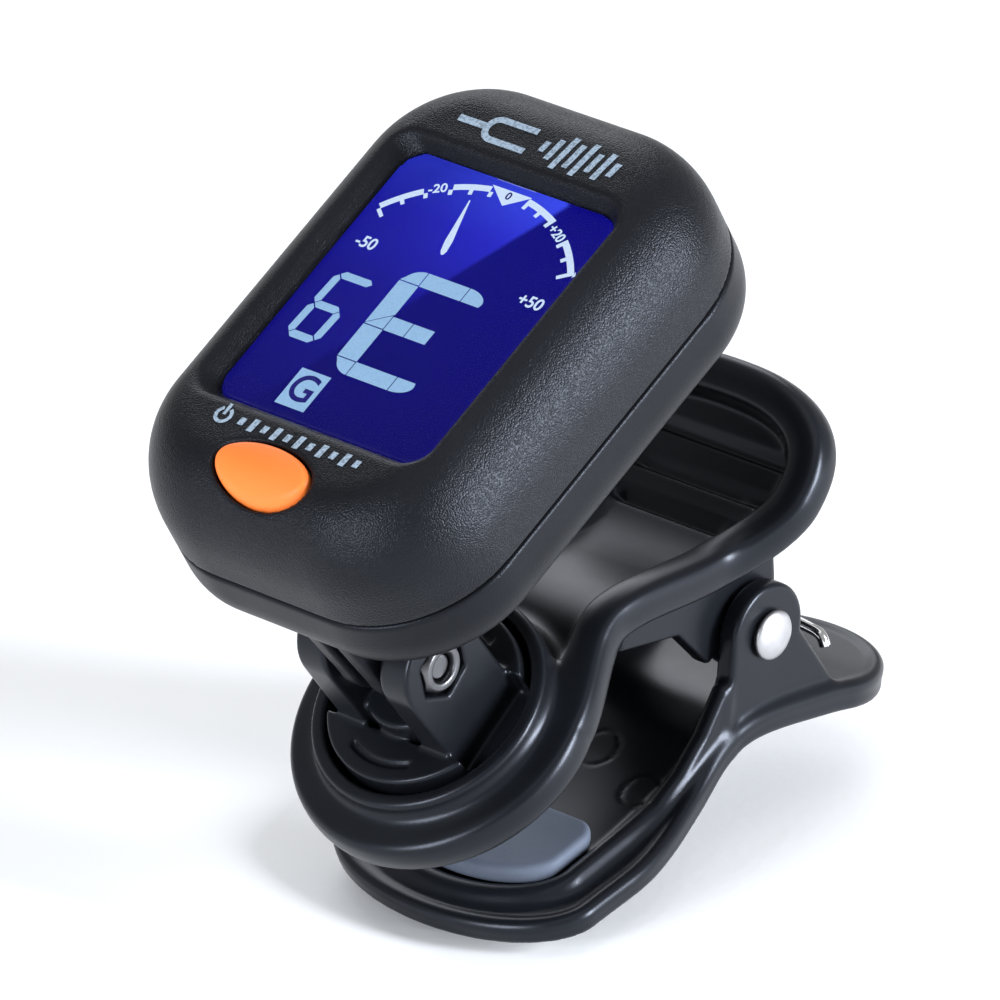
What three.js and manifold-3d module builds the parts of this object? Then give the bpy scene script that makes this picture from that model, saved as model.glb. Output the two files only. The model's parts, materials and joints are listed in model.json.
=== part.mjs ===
// Clip-on instrument tuner: a spring clip, a turning and tilting mount, and a display head.
// Millimetres, +Z up, +Y towards the clip's finger handles, +X to the right of the screen.
// The origin is the middle of the flat sole under the lower jaw.
import * as THREE from 'three';
import { mergeVertices } from 'three/addons/utils/BufferGeometryUtils.js';
import Module from 'manifold-3d';

const wasm = await Module();
wasm.setup();

// ---------------------------------------------------------------- driving dimensions
const GAP = 0.3;                                  // running and seating gap between pieces
const SOLE = { halfWidth: 7, front: -7.6, back: 7.6, corner: 5 };

// Turret: a Ø19 disc whose axis leans forward from the upright.
const TURRET = { y: -8, z: 22.5, lean: 37, radius: 9.4, foot: -3.9, top: 0.9, floor: -2.1 };
const COLLAR = { inner: 10, outer: 11.4, socketFloor: -4.2 };
const EAR = { inner: 3.3, outer: 6.7, halfDepth: 4.7, boltHeight: 8.4 };
const BOSS = { radius: 4.8, top: 2.6 };
const SWIVEL = { shaft: 1.25, head: 2.8, headLow: 3.2, headHigh: 3.9, end: -9.4 };
const BOLT = { shaft: 1.25, head: 2.35, nutFlat: 4.6, nutThick: 1.7, recess: 1.6 };

// Upper jaw: a ribbon with a round front lobe, a waist and a raised thumb handle.
const UPPER = { lobe: 14.5, drop: -4.1, half: 1.7, rim: 4.3, dish: 0.4 };
const UPPER_WEB = { inner: 6.2, outer: 8.2, round: 4.1 };
const UPPER_PAD = { radius: 9.2, thick: 2.2 };

// Lower jaw: a tray with an outer flange, a raised wall, two ears and a finger handle.
const LOWER = { half: 0.9, tipY: -9.8, lobeWide: 15, waist: 11.4, lobeLong: 7.4, end: 48.4 };
const WALL = { wide: 11.7, long: 7, thick: 1.8, frontY: -7.7, backY: 21 };
const LOWER_EAR = { inner: 8.6, outer: 10.7, round: 4.7 };
const LOWER_PAD = { inset: 2.3, thick: 1.8, back: 5 };
const PIN = { y: 26, z: 20.3, shaft: 1.5, bore: 1.8, head: 2.35, headThick: 0.9 };
const SPRING = { wire: 0.55, coil: 2.9, turns: 5, low: -3.6, high: 3.2 };

// Head: local frame with its origin on the tilt bolt, +Y up the screen, +Z out of the screen.
const HEAD = { lean: 29.8, halfWidth: 18.6, low: -8, high: 45.1, face: 27.4, back: 9.9, split: 15.75,
  corner: 12, shoulderIn: 6.6, shoulderDown: 8.6, backIn: 1.4, backUp: 3.2, wall: 1.8 };
const SCREEN = { y: 18.9, halfWidth: 12.5, halfHeight: 14.9, corner: 1.2, windowTop: 26, windowThick: 0.5,
  glassTop: 25.2, glassThick: 1.8, lightTop: 23.1, lightThick: 1.3 };
const BUTTON = { y: -2.6, halfWidth: 5, halfHeight: 3.05, top: 27.5, shoulder: 25.6, low: 21.9, stem: 1.6,
  tab: 0.9, tabHalf: 1.2, tabLow: 23.4, tabHigh: 24.2 };
const SWITCH = { half: 3, low: 20, high: 21.2, plunger: 1.2, plungerLow: 20.9, plungerHigh: 21.6 };
const LUG = { halfWidth: 2.8, slot: 0.8, slotEnd: 7.5, round: 4.1, halfRoot: 6 };
const CELL = { y: 27.5, radius: 10, thick: 3.2, low: 11.9 };
const DOOR = { radius: 11.6, thick: 1.2 };
const PIEZO = { y: 6.5, radius: 7.5, low: 11.8, thick: 0.5 };
const BOARD = { halfWidth: 15.3, low: -4.4, high: 41, corner: 10, bottom: 18.7, thick: 1 };
const CHIP = { y: 11, half: 4, low: 17.2, high: 18.4 };
const ZEBRA = { offset: 14.3, half: 0.5, low: 20, high: 23.1 };
const CASE_SCREW = { x: 12, lowY: 0.2, highY: 37.6, shaft: 1, head: 2, sink: 1.4, boss: 2.1, end: 22.4 };

// ---------------------------------------------------------------- materials
const finish = (color, roughness, metalness) =>
  new THREE.MeshStandardMaterial({ color, roughness, metalness });
const shellPlastic = finish(0x24262b, 0.5, 0);
const clipPlastic = finish(0x1d1f24, 0.35, 0);
const rubber = finish(0x5c6672, 0.8, 0);
const steel = finish(0xc9cacb, 0.25, 1);
const darkSteel = finish(0x55575c, 0.35, 1);
const orangePlastic = finish(0xf06a20, 0.45, 0);
const clearPlastic = finish(0x9fb4d8, 0.1, 0);
const displayGlass = finish(0x1020a0, 0.2, 0);
const whitePlastic = finish(0xe8e8e4, 0.5, 0);
const greenBoard = finish(0x1d5a34, 0.6, 0);
const blackResin = finish(0x111214, 0.4, 0);
const brass = finish(0xc8a050, 0.3, 1);

// ---------------------------------------------------------------- solids
function toSolid(geometry) {
  const bare = geometry.clone();
  bare.deleteAttribute('normal');
  bare.deleteAttribute('uv');
  const merged = mergeVertices(bare, 1e-4);
  return new wasm.Manifold(new wasm.Mesh({
    numProp: 3,
    vertProperties: new Float32Array(merged.attributes.position.array),
    triVerts: new Uint32Array(merged.index.array),
  }));
}

function toGeometry(solid) {
  const { vertProperties, triVerts } = solid.getMesh();
  const geometry = new THREE.BufferGeometry();
  geometry.setAttribute('position', new THREE.BufferAttribute(vertProperties, 3));
  geometry.setIndex(new THREE.BufferAttribute(triVerts, 1));
  geometry.computeVertexNormals();
  return geometry;
}

const join = (first, ...others) => others.reduce((sum, next) => sum.add(next), first);
const cut = (first, ...tools) => tools.reduce((rest, tool) => rest.subtract(tool), first);

// A slab of constant outline: the outline lies in XY and is raised from low to high.
function planSlab(shape, low, high, curveSegments = 3) {
  const options = { depth: high - low, bevelEnabled: false, curveSegments };
  const geometry = new THREE.ExtrudeGeometry(shape, options);
  return geometry.translate(0, 0, low);
}

// A slab whose outline lies in YZ and which runs from left to right along X.
function sideSlab(shape, left, right, curveSegments = 6) {
  const geometry = planSlab(shape, left, right, curveSegments);
  const axes = new THREE.Matrix4().makeBasis(
    new THREE.Vector3(0, 1, 0), new THREE.Vector3(0, 0, 1), new THREE.Vector3(1, 0, 0));
  return geometry.applyMatrix4(axes);
}

// A solid of revolution about Z from [radius, height] pairs.
function turned(profile, segments = 32) {
  const points = profile.map(([radius, height]) => new THREE.Vector2(radius, height));
  return new THREE.LatheGeometry(points, segments).rotateX(Math.PI / 2);
}

function drum(radius, low, high, segments = 32) {
  const geometry = new THREE.CylinderGeometry(radius, radius, high - low, segments);
  return geometry.rotateX(Math.PI / 2).translate(0, 0, (low + high) / 2);
}

function rod(radius, left, right, y, z, segments = 24) {
  const geometry = new THREE.CylinderGeometry(radius, radius, right - left, segments);
  return geometry.rotateZ(-Math.PI / 2).translate((left + right) / 2, y, z);
}

function block(x, y, z) {
  const geometry = new THREE.BoxGeometry(x[1] - x[0], y[1] - y[0], z[1] - z[0]);
  return geometry.translate((x[0] + x[1]) / 2, (y[0] + y[1]) / 2, (z[0] + z[1]) / 2);
}

function roundedRectangle(halfWidth, low, high, corner) {
  const shape = new THREE.Shape();
  shape.absarc(halfWidth - corner, low + corner, corner, -Math.PI / 2, 0);
  shape.absarc(halfWidth - corner, high - corner, corner, 0, Math.PI / 2);
  shape.absarc(corner - halfWidth, high - corner, corner, Math.PI / 2, Math.PI);
  shape.absarc(corner - halfWidth, low + corner, corner, Math.PI, Math.PI * 1.5);
  return shape;
}

// Where a pair of cheeks starts and ends across X, on the left (-1) or the right (1).
const acrossSide = (side, { inner, outer }) => (side < 0 ? [-outer, -inner] : [inner, outer]);

function polygon(points) {
  return new THREE.Shape(points.map(([a, b]) => new THREE.Vector2(a, b)));
}

function oval(halfWidth, halfHeight, y) {
  return new THREE.Shape().absellipse(0, y, halfWidth, halfHeight, 0, Math.PI * 2);
}

// Skins a row of closed loops, all with the same number of points, and caps both ends.
function skin(loops) {
  const count = loops[0].length;
  const positions = loops.flat().flatMap((point) => [point.x, point.y, point.z]);
  const index = [];
  for (let row = 0; row + 1 < loops.length; row += 1) {
    for (let side = 0; side < count; side += 1) {
      const here = row * count + side;
      const next = row * count + ((side + 1) % count);
      index.push(here, next, next + count, here, next + count, here + count);
    }
  }
  const last = (loops.length - 1) * count;
  for (let side = 1; side + 1 < count; side += 1) {
    index.push(0, side + 1, side, last, last + side, last + side + 1);
  }
  const geometry = new THREE.BufferGeometry();
  geometry.setAttribute('position', new THREE.Float32BufferAttribute(positions, 3));
  geometry.setIndex(index);
  return geometry;
}

// A bent plate: stations along a curve in YZ, each with its half width across X.
// below and above are its depths on either side of the curve, along the curve's normal.
function ribbon(stations, below, above) {
  const loops = stations.map(({ point, normal, width }) => {
    const bevel = Math.min(0.6, width / 2, (above + below) / 4);
    const corners = [
      [-width, bevel - below], [bevel - width, -below], [width - bevel, -below], [width, bevel - below],
      [width, above - bevel], [width - bevel, above], [bevel - width, above], [-width, above - bevel],
    ];
    return corners.map(([across, up]) =>
      new THREE.Vector3(across, point.x + normal.x * up, point.y + normal.y * up));
  });
  return skin(loops.reverse());
}

function stationsAlong(curve, count, widthAt) {
  const stations = [];
  for (let step = 0; step <= count; step += 1) {
    const along = step / count;
    const point = curve.getPointAt(along);
    const tangent = curve.getTangentAt(along);
    const normal = new THREE.Vector2(-tangent.y, tangent.x);
    stations.push({ point, normal, width: widthAt(point, along * curve.getLength()) });
  }
  return stations;
}

function mesh(name, shape, material) {
  const geometry = shape instanceof THREE.BufferGeometry ? shape : toGeometry(shape);
  const piece = new THREE.Mesh(geometry, material);
  piece.name = name;
  return piece;
}

// ---------------------------------------------------------------- frames
const radians = THREE.MathUtils.degToRad;

const turretFrame = new THREE.Group();
turretFrame.position.set(0, TURRET.y, TURRET.z);
turretFrame.rotation.x = radians(TURRET.lean);
turretFrame.updateMatrixWorld();

const headFrame = new THREE.Group();
headFrame.position.set(0, 0, EAR.boltHeight).applyMatrix4(turretFrame.matrixWorld);
headFrame.rotation.x = radians(HEAD.lean);

const onTurret = (geometry) => toSolid(geometry.applyMatrix4(turretFrame.matrixWorld));
// ---------------------------------------------------------------- lower arm
const between = (value, low, high) => THREE.MathUtils.smoothstep(value, low, high);

// Half width of the flange: an elliptic front, a waist at the ears and a round handle end.
function flangeWidth(y) {
  const centre = LOWER.tipY + LOWER.lobeLong;
  const waist = THREE.MathUtils.lerp(LOWER.lobeWide, LOWER.waist, between(y, 3, 22));
  const front = y < centre ? Math.sqrt(Math.max(1 - ((centre - y) / LOWER.lobeLong) ** 2, 0)) : 1;
  const fromEnd = (LOWER.end - y) / LOWER.waist;
  const back = fromEnd < 1 ? Math.sqrt(Math.max(1 - (1 - fromEnd) ** 2, 0)) : 1;
  return Math.max(waist * front * back, 0.8);
}

const flangeCurve = new THREE.SplineCurve([
  [LOWER.tipY, 1.8], [-3, 3.6], [6.8, 5.6], [14.3, 8], [20, 10.9],
  [25, 12], [34, 11.2], [41, 9.9], [LOWER.end, 9],
].map(([y, z]) => new THREE.Vector2(y, z)));

function lowerStations(count, widthAt) {
  const stations = stationsAlong(flangeCurve, count, (point) => widthAt(point.x));
  const ends = [0.004, 0.012, 0.028, 0.972, 0.988, 0.996].map((along) => {
    const point = flangeCurve.getPointAt(along);
    const tangent = flangeCurve.getTangentAt(along);
    return { point, normal: new THREE.Vector2(-tangent.y, tangent.x), width: widthAt(point.x) };
  });
  return [...stations, ...ends].sort((a, b) => a.point.x - b.point.x);
}

function wallOutline(inset) {
  const wide = WALL.wide - inset;
  const long = WALL.long - inset;
  const centre = WALL.frontY + WALL.long;
  const shape = new THREE.Shape();
  shape.absellipse(0, centre, wide, long, Math.PI, Math.PI * 2);
  shape.lineTo(LOWER_EAR.outer - inset, WALL.backY);
  shape.lineTo(inset - LOWER_EAR.outer, WALL.backY);
  return shape;
}

// The band that the tray's wall fills, seen from the side.
const wallBand = polygon([
  [-9, 0.8], [-9, 4.1], [-0.4, 6.4], [7.5, 7.9], [10.7, 8.6], [13.9, 10.3], [17, 13], [20, 16.8],
  [21, 16.8], [21, 10], [13, 6.4], [0, 2.6],
]);

const lowerEarOutline = () => {
  const shape = new THREE.Shape();
  shape.moveTo(19, 10.4);
  shape.lineTo(36, 11);
  shape.lineTo(34.6, 13.4);
  shape.absarc(PIN.y, PIN.z, LOWER_EAR.round, radians(-14), radians(176));
  shape.lineTo(20.9, 16.4);
  return shape;
};

function lowerJaw() {
  const plate = toSolid(ribbon(lowerStations(26, flangeWidth), LOWER.half, LOWER.half));
  const soleOutline = roundedRectangle(SOLE.halfWidth, SOLE.front, SOLE.back, SOLE.corner);
  const bellyBand = polygon([[-9.5, -1], [9, -1], [9, 6.2], [-3, 3.6], [-9.5, 2]]);
  const belly = toSolid(planSlab(soleOutline, 0, 12)).intersect(toSolid(sideSlab(bellyBand, -12, 12)));
  const ring = cut(toSolid(planSlab(wallOutline(0), -1, 22, 8)),
    toSolid(planSlab(wallOutline(WALL.thick), -2, 23, 8)));
  const wall = ring.intersect(toSolid(sideSlab(wallBand, -13, 13)));
  const ears = [-1, 1].map((side) => {
    const [left, right] = acrossSide(side, LOWER_EAR);
    return toSolid(sideSlab(lowerEarOutline(), left, right));
  });
  const bore = toSolid(rod(PIN.bore, -20, 20, PIN.y, PIN.z));
  return cut(join(plate, belly, wall, ...ears), bore);
}

function lowerPad() {
  const underside = LOWER.half + GAP;
  const strip = toSolid(ribbon(lowerStations(26, () => 12), -underside, underside + LOWER_PAD.thick));
  const tray = toSolid(planSlab(wallOutline(LOWER_PAD.inset), 0, 20, 8));
  return strip.intersect(tray).intersect(toSolid(block([-20, 20], [-20, LOWER_PAD.back], [0, 20])));
}

// ---------------------------------------------------------------- hinge
function hingePin() {
  const reach = LOWER_EAR.outer + GAP;
  const profile = [[0, -reach - PIN.headThick], [PIN.head * 0.6, -reach - PIN.headThick * 0.8],
    [PIN.head, -reach - 0.2], [PIN.head, -reach], [PIN.shaft, -reach], [PIN.shaft, reach],
    [PIN.head, reach], [PIN.head, reach + 0.2], [PIN.head * 0.6, reach + PIN.headThick * 0.8],
    [0, reach + PIN.headThick]];
  return turned(profile, 24).rotateY(Math.PI / 2).translate(0, PIN.y, PIN.z);
}

// One wire: a leg on the lower handle, the coil round the pin, a leg under the thumb handle.
function springRoute() {
  const points = [
    new THREE.Vector3(8.9, PIN.y + 9.9, PIN.z - 5.2),
    new THREE.Vector3(8.5, PIN.y + 9.8, PIN.z - 4.3),
    new THREE.Vector3(7.4, PIN.y + 9.7, PIN.z - 3.9),
    new THREE.Vector3(4.6, PIN.y + 9.3, PIN.z - 3.5),
    new THREE.Vector3(SPRING.high, PIN.y + 7.8, PIN.z - 3.2),
  ];
  const startAngle = radians(-82);
  const endAngle = radians(360 * SPRING.turns + 160);
  const steps = SPRING.turns * 12;
  for (let step = 0; step <= steps; step += 1) {
    const angle = THREE.MathUtils.lerp(startAngle, -endAngle, step / steps);
    const x = THREE.MathUtils.lerp(SPRING.high, SPRING.low, step / steps);
    const y = PIN.y + SPRING.coil * Math.cos(angle);
    points.push(new THREE.Vector3(x, y, PIN.z + SPRING.coil * Math.sin(angle)));
  }
  return points;
}

function torsionSpring() {
  const points = springRoute();
  points.push(new THREE.Vector3(SPRING.low, PIN.y + 1.2, PIN.z + 4.4));
  points.push(new THREE.Vector3(SPRING.low, PIN.y + 6, PIN.z + 7.3));
  const route = new THREE.CatmullRomCurve3(points, false, 'centripetal');
  const section = new THREE.Shape().absarc(0, 0, SPRING.wire, 0, Math.PI * 2);
  const options = { extrudePath: route, steps: 88, curveSegments: 4, bevelEnabled: false };
  return new THREE.ExtrudeGeometry(section, options);
}

// ---------------------------------------------------------------- upper arm
const upperTip = new THREE.Vector3(0, -UPPER.lobe, UPPER.drop).applyMatrix4(turretFrame.matrixWorld);
const upperBend = new THREE.Vector3(0, 12.2, UPPER.drop).applyMatrix4(turretFrame.matrixWorld);

function upperCurve() {
  const path = new THREE.CurvePath();
  const flat = new THREE.Vector2(upperBend.y, upperBend.z);
  path.add(new THREE.LineCurve(new THREE.Vector2(upperTip.y, upperTip.z), flat));
  path.add(new THREE.CubicBezierCurve(flat, new THREE.Vector2(flat.x + 3.2, flat.y + 2.4),
    new THREE.Vector2(12, 28.1), new THREE.Vector2(18, 28.1)));
  path.add(new THREE.CubicBezierCurve(new THREE.Vector2(18, 28.1), new THREE.Vector2(24, 28.1),
    new THREE.Vector2(27.4, 30), new THREE.Vector2(34.6, 40.9)));
  return path;
}

// Half width along the arm: the round lobe, the waist, then the wide round thumb handle.
function upperWidth(travel, length) {
  const lobe = Math.sqrt(Math.max(UPPER.lobe ** 2 - (UPPER.lobe - travel) ** 2, 0));
  const waist = THREE.MathUtils.lerp(14.1, 10.3, between(travel, 17, 30));
  const handle = THREE.MathUtils.lerp(waist, 13.4, between(travel, length - 20, length - 10));
  const fromEnd = length - travel;
  const endRound = 9.5;
  const share = Math.max(1 - fromEnd / endRound, 0);
  const round = Math.max(1 - share ** 2.5, 0) ** 0.4;
  const width = travel < 18 ? lobe : handle * round;
  return Math.max(width, 0.8);
}

function upperStations(inset) {
  const curve = upperCurve();
  const length = curve.getLength();
  const stations = [];
  const travels = [0, 0.2, 0.7, 1.5, 3];
  for (let travel = 5; travel < length - 3; travel += 2) travels.push(travel);
  [3, 1.5, 0.7, 0.2, 0].forEach((fromEnd) => travels.push(length - fromEnd));
  travels.filter((travel) => travel >= inset && travel <= length - inset).forEach((travel) => {
    const point = curve.getPointAt(travel / length);
    const tangent = curve.getTangentAt(travel / length);
    const width = Math.max(upperWidth(travel, length) - inset, 0.6);
    stations.push({ point, normal: new THREE.Vector2(-tangent.y, tangent.x), width });
  });
  return stations;
}

const upperWebOutline = () => {
  const shape = new THREE.Shape();
  shape.moveTo(8.4, 23.6);
  shape.lineTo(16.6, 22.4);
  shape.lineTo(20.6, 18.2);
  shape.absarc(PIN.y, PIN.z, UPPER_WEB.round, radians(200), radians(20));
  [[29.4, 31.8], [26.5, 30], [23, 28.3], [18, 27.3], [10, 26.9]].forEach(([y, z]) => shape.lineTo(y, z));
  return shape;
};

function upperJaw() {
  const plate = toSolid(ribbon(upperStations(0), UPPER.half, UPPER.half));
  const dish = toSolid(ribbon(upperStations(UPPER.rim), -UPPER.dish, 6));
  const collar = onTurret(drum(COLLAR.outer, UPPER.drop - 1, 0, 40));
  const socket = onTurret(drum(COLLAR.inner, COLLAR.socketFloor, 20, 40));
  const screwBoss = onTurret(drum(3.6, SWIVEL.end - 0.6, UPPER.drop - 1, 20));
  const screwHole = onTurret(drum(SWIVEL.shaft + GAP, SWIVEL.end - GAP, 0, 20));
  const webs = [-1, 1].map((side) => {
    const [left, right] = acrossSide(side, UPPER_WEB);
    return toSolid(sideSlab(upperWebOutline(), left, right));
  });
  const bore = toSolid(rod(PIN.bore, -20, 20, PIN.y, PIN.z));
  return cut(join(cut(plate, dish), collar, screwBoss, ...webs), socket, screwHole, bore);
}

function upperPad() {
  const low = UPPER.drop - UPPER.half - GAP - UPPER_PAD.thick;
  const disc = toSolid(drum(UPPER_PAD.radius, low, low + UPPER_PAD.thick, 28));
  return cut(disc, toSolid(drum(3.6 + GAP, low - 5, low + 5, 20)));
}

// ---------------------------------------------------------------- turret
function turret() {
  const disc = toSolid(drum(TURRET.radius, TURRET.foot, TURRET.floor, 40));
  const rim = toSolid(drum(TURRET.radius, TURRET.foot, TURRET.top, 40));
  const crescents = [[-20, -EAR.halfDepth], [EAR.halfDepth, 20]].map((y) =>
    rim.intersect(toSolid(block([-20, 20], y, [-20, 20]))));
  const boss = toSolid(drum(BOSS.radius, TURRET.foot, BOSS.top, 32));
  const earOutline = new THREE.Shape();
  earOutline.moveTo(-EAR.halfDepth, TURRET.foot);
  earOutline.lineTo(EAR.halfDepth, TURRET.foot);
  earOutline.absarc(0, EAR.boltHeight, EAR.halfDepth, 0, Math.PI);
  const ears = [[-EAR.outer, -EAR.inner], [EAR.inner, EAR.outer]].map(([left, right]) =>
    toSolid(sideSlab(earOutline, left, right, 10)));
  const boltHole = toSolid(rod(BOLT.shaft + GAP, -20, 20, 0, EAR.boltHeight, 20));
  const nutPocket = toSolid(hexPrism(BOLT.nutFlat / 2 + GAP, EAR.outer - BOLT.recess, 20));
  const headPocket = toSolid(rod(BOLT.head + GAP, -20, BOLT.recess - EAR.outer, 0, EAR.boltHeight, 20));
  const screwHole = toSolid(drum(SWIVEL.shaft + GAP, -20, 20, 20));
  return cut(join(disc, ...crescents, boss, ...ears), boltHole, nutPocket, headPocket, screwHole);
}

// A hexagonal prism along X, measured across its flats, on the tilt bolt's line.
function hexPrism(halfFlats, left, right) {
  const corners = [0, 1, 2, 3, 4, 5].map((side) => {
    const angle = radians(60 * side + 8);
    const reach = halfFlats / Math.cos(Math.PI / 6);
    return [reach * Math.cos(angle), EAR.boltHeight + reach * Math.sin(angle)];
  });
  return sideSlab(polygon(corners), left, right);
}

function tiltBolt() {
  const headFace = BOLT.recess - EAR.outer - GAP;
  const shaft = toSolid(rod(BOLT.shaft, headFace, EAR.outer - 0.5, 0, EAR.boltHeight, 20));
  const head = toSolid(rod(BOLT.head, headFace - 1.2, headFace, 0, EAR.boltHeight, 24));
  const slotBand = [EAR.boltHeight - 0.3, EAR.boltHeight + 0.3];
  const slot = toSolid(block([headFace - 2, headFace - 0.8], [-3, 3], slotBand));
  return cut(join(shaft, head), slot);
}

function tiltNut() {
  const left = EAR.outer - BOLT.recess + GAP;
  const nut = toSolid(hexPrism(BOLT.nutFlat / 2, left, left + BOLT.nutThick - GAP));
  return cut(nut, toSolid(rod(BOLT.shaft + 0.05 + GAP / 3, -20, 20, 0, EAR.boltHeight, 20)));
}

function swivelScrew() {
  const { shaft, head, headLow, headHigh, end } = SWIVEL;
  const body = toSolid(turned([[0, end], [shaft, end], [shaft, headLow], [head, headLow],
    [head, headHigh - 0.3], [head - 0.5, headHigh], [0, headHigh]], 28));
  return cut(body, toSolid(block([-2, 2], [-0.3, 0.3], [headHigh - 0.4, headHigh + 1])));
}

function swivelWasher() {
  const { shaft, head, headLow } = SWIVEL;
  const low = BOSS.top + 0.1;
  const inner = shaft + 0.2;
  const outer = head + 0.1;
  const high = headLow - 0.1;
  return turned([[inner, low], [outer, low], [outer, high], [inner, high], [inner, low]], 28);
}

// ---------------------------------------------------------------- head shells
// A cushion-edged tablet: a rounded rectangle that shrinks along a quarter ellipse at each end.
// Each end is given as its height, how far the edge curve reaches inwards, and how far along Z.
function tablet(inset, bottom, top) {
  const turns = 4;
  const rows = [];
  for (let step = 0; step <= turns; step += 1) {
    const angle = (step / turns) * Math.PI / 2;
    rows.push({ height: bottom.height + bottom.along * (1 - Math.cos(angle)),
      pull: bottom.inwards * (1 - Math.sin(angle)) });
  }
  for (let step = 0; step <= turns; step += 1) {
    const angle = (step / turns) * Math.PI / 2;
    rows.push({ height: top.height - top.along * (1 - Math.sin(angle)),
      pull: top.inwards * (1 - Math.cos(angle)) });
  }
  const loops = rows.map(({ height, pull }) => {
    const shrink = inset + pull;
    const corner = Math.max(HEAD.corner - shrink, 1.2);
    const shape = roundedRectangle(HEAD.halfWidth - shrink, HEAD.low + shrink, HEAD.high - shrink, corner);
    return shape.getPoints(4).map((point) => new THREE.Vector3(point.x, point.y, height));
  });
  return toSolid(skin(loops));
}

const outerTablet = () => tablet(0,
  { height: HEAD.back, inwards: HEAD.backIn, along: HEAD.backUp },
  { height: HEAD.face, inwards: HEAD.shoulderIn, along: HEAD.shoulderDown });
const innerTablet = () => tablet(HEAD.wall,
  { height: HEAD.back + 1.5, inwards: 1.8, along: 1.8 },
  { height: HEAD.face - HEAD.wall, inwards: 4.2, along: 7 });
const everywhere = [-60, 60];

const screwPlaces = [CASE_SCREW.lowY, CASE_SCREW.highY].flatMap((y) =>
  [-CASE_SCREW.x, CASE_SCREW.x].map((x) => ({ x, y })));
const atScrews = (radius, low, high, segments) => screwPlaces.map(({ x, y }) =>
  toSolid(drum(radius, low, high, segments).translate(x, y, 0)));
const atCell = (radius, low, high) => toSolid(drum(radius, low, high, 36).translate(0, CELL.y, 0));

function frontCover() {
  const above = toSolid(block(everywhere, everywhere, [HEAD.split + GAP / 2, 60]));
  const shell = cut(outerTablet().intersect(above), innerTablet());
  const opening = toSolid(screenPlate(0, 10, 40));
  const buttonOutline = oval(BUTTON.halfWidth + GAP, BUTTON.halfHeight + GAP, BUTTON.y);
  const buttonHole = toSolid(planSlab(buttonOutline, 10, 40, 14));
  const bosses = atScrews(CASE_SCREW.boss, BOARD.bottom + BOARD.thick + GAP, HEAD.face - 1, 14);
  const holes = atScrews(CASE_SCREW.shaft + GAP, 0, CASE_SCREW.end + 1, 12);
  const body = cut(join(shell, ...bosses.map((boss) => boss.intersect(outerTablet()))), opening);
  return cut(body, buttonHole, ...holes);
}

function lug() {
  const outline = new THREE.Shape();
  outline.absarc(0, 0, LUG.round, Math.PI, Math.PI * 2);
  outline.lineTo(LUG.halfRoot, HEAD.back + 1);
  outline.lineTo(-LUG.halfRoot, HEAD.back + 1);
  const solid = toSolid(sideSlab(outline, -LUG.halfWidth, LUG.halfWidth));
  return cut(solid, toSolid(block([-LUG.slot, LUG.slot], [-20, 20], [-20, LUG.slotEnd])));
}

function backCover() {
  const below = toSolid(block(everywhere, everywhere, [0, HEAD.split - GAP / 2]));
  const shell = cut(outerTablet().intersect(below), innerTablet());
  const cellTube = atCell(DOOR.radius + 1.2, HEAD.back + 0.8, HEAD.split - 0.6);
  const cellWall = cut(cellTube, atCell(CELL.radius + 0.5, 0, 40));
  const doorway = atCell(DOOR.radius + GAP, 0, HEAD.back + DOOR.thick + GAP);
  const throat = atCell(CELL.radius + 0.5, 0, HEAD.back + 3);
  const pillars = atScrews(CASE_SCREW.boss, HEAD.back + 1, BOARD.bottom - GAP, 14);
  const sinks = atScrews(CASE_SCREW.head + GAP, 0, HEAD.back + CASE_SCREW.sink, 16);
  const holes = atScrews(CASE_SCREW.shaft + GAP, 0, 40, 12);
  const boltHole = toSolid(rod(BOLT.shaft + GAP, -20, 20, 0, 0, 20));
  const body = cut(join(shell, cellWall, ...pillars), doorway, throat, ...sinks, ...holes);
  return cut(join(body, lug()), boltHole);
}

function batteryDoor() {
  const coinSlot = block([-5, 5], [CELL.y - 0.9, CELL.y + 0.9], [HEAD.back - 1, HEAD.back + 0.6]);
  return cut(atCell(DOOR.radius, HEAD.back, HEAD.back + DOOR.thick), toSolid(coinSlot));
}

function caseScrew({ x, y }) {
  const low = HEAD.back + 0.3;
  const seat = HEAD.back + CASE_SCREW.sink - GAP;
  const body = toSolid(turned([[0, low], [CASE_SCREW.head, low], [CASE_SCREW.head, seat],
    [CASE_SCREW.shaft, seat], [CASE_SCREW.shaft, CASE_SCREW.end - 0.6], [0, CASE_SCREW.end]], 14));
  return cut(body, toSolid(block([-1.4, 1.4], [-0.25, 0.25], [low - 1, low + 0.45]))).translate([x, y, 0]);
}

// ---------------------------------------------------------------- display and electronics
function screenPlate(extra, low, high) {
  const outline = roundedRectangle(SCREEN.halfWidth + extra, SCREEN.y - SCREEN.halfHeight - extra,
    SCREEN.y + SCREEN.halfHeight + extra, SCREEN.corner);
  return planSlab(outline, low, high);
}

const screenWindow = () => screenPlate(-GAP, SCREEN.windowTop - SCREEN.windowThick, SCREEN.windowTop);
const lcdGlass = () => screenPlate(-0.1, SCREEN.glassTop - SCREEN.glassThick, SCREEN.glassTop);
const backlight = () => screenPlate(-1.4, SCREEN.lightTop - SCREEN.lightThick, SCREEN.lightTop);

function zebraStrip(side) {
  const middle = SCREEN.y + side * ZEBRA.offset;
  return block([-11, 11], [middle - ZEBRA.half, middle + ZEBRA.half], [ZEBRA.low, ZEBRA.high]);
}

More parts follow.
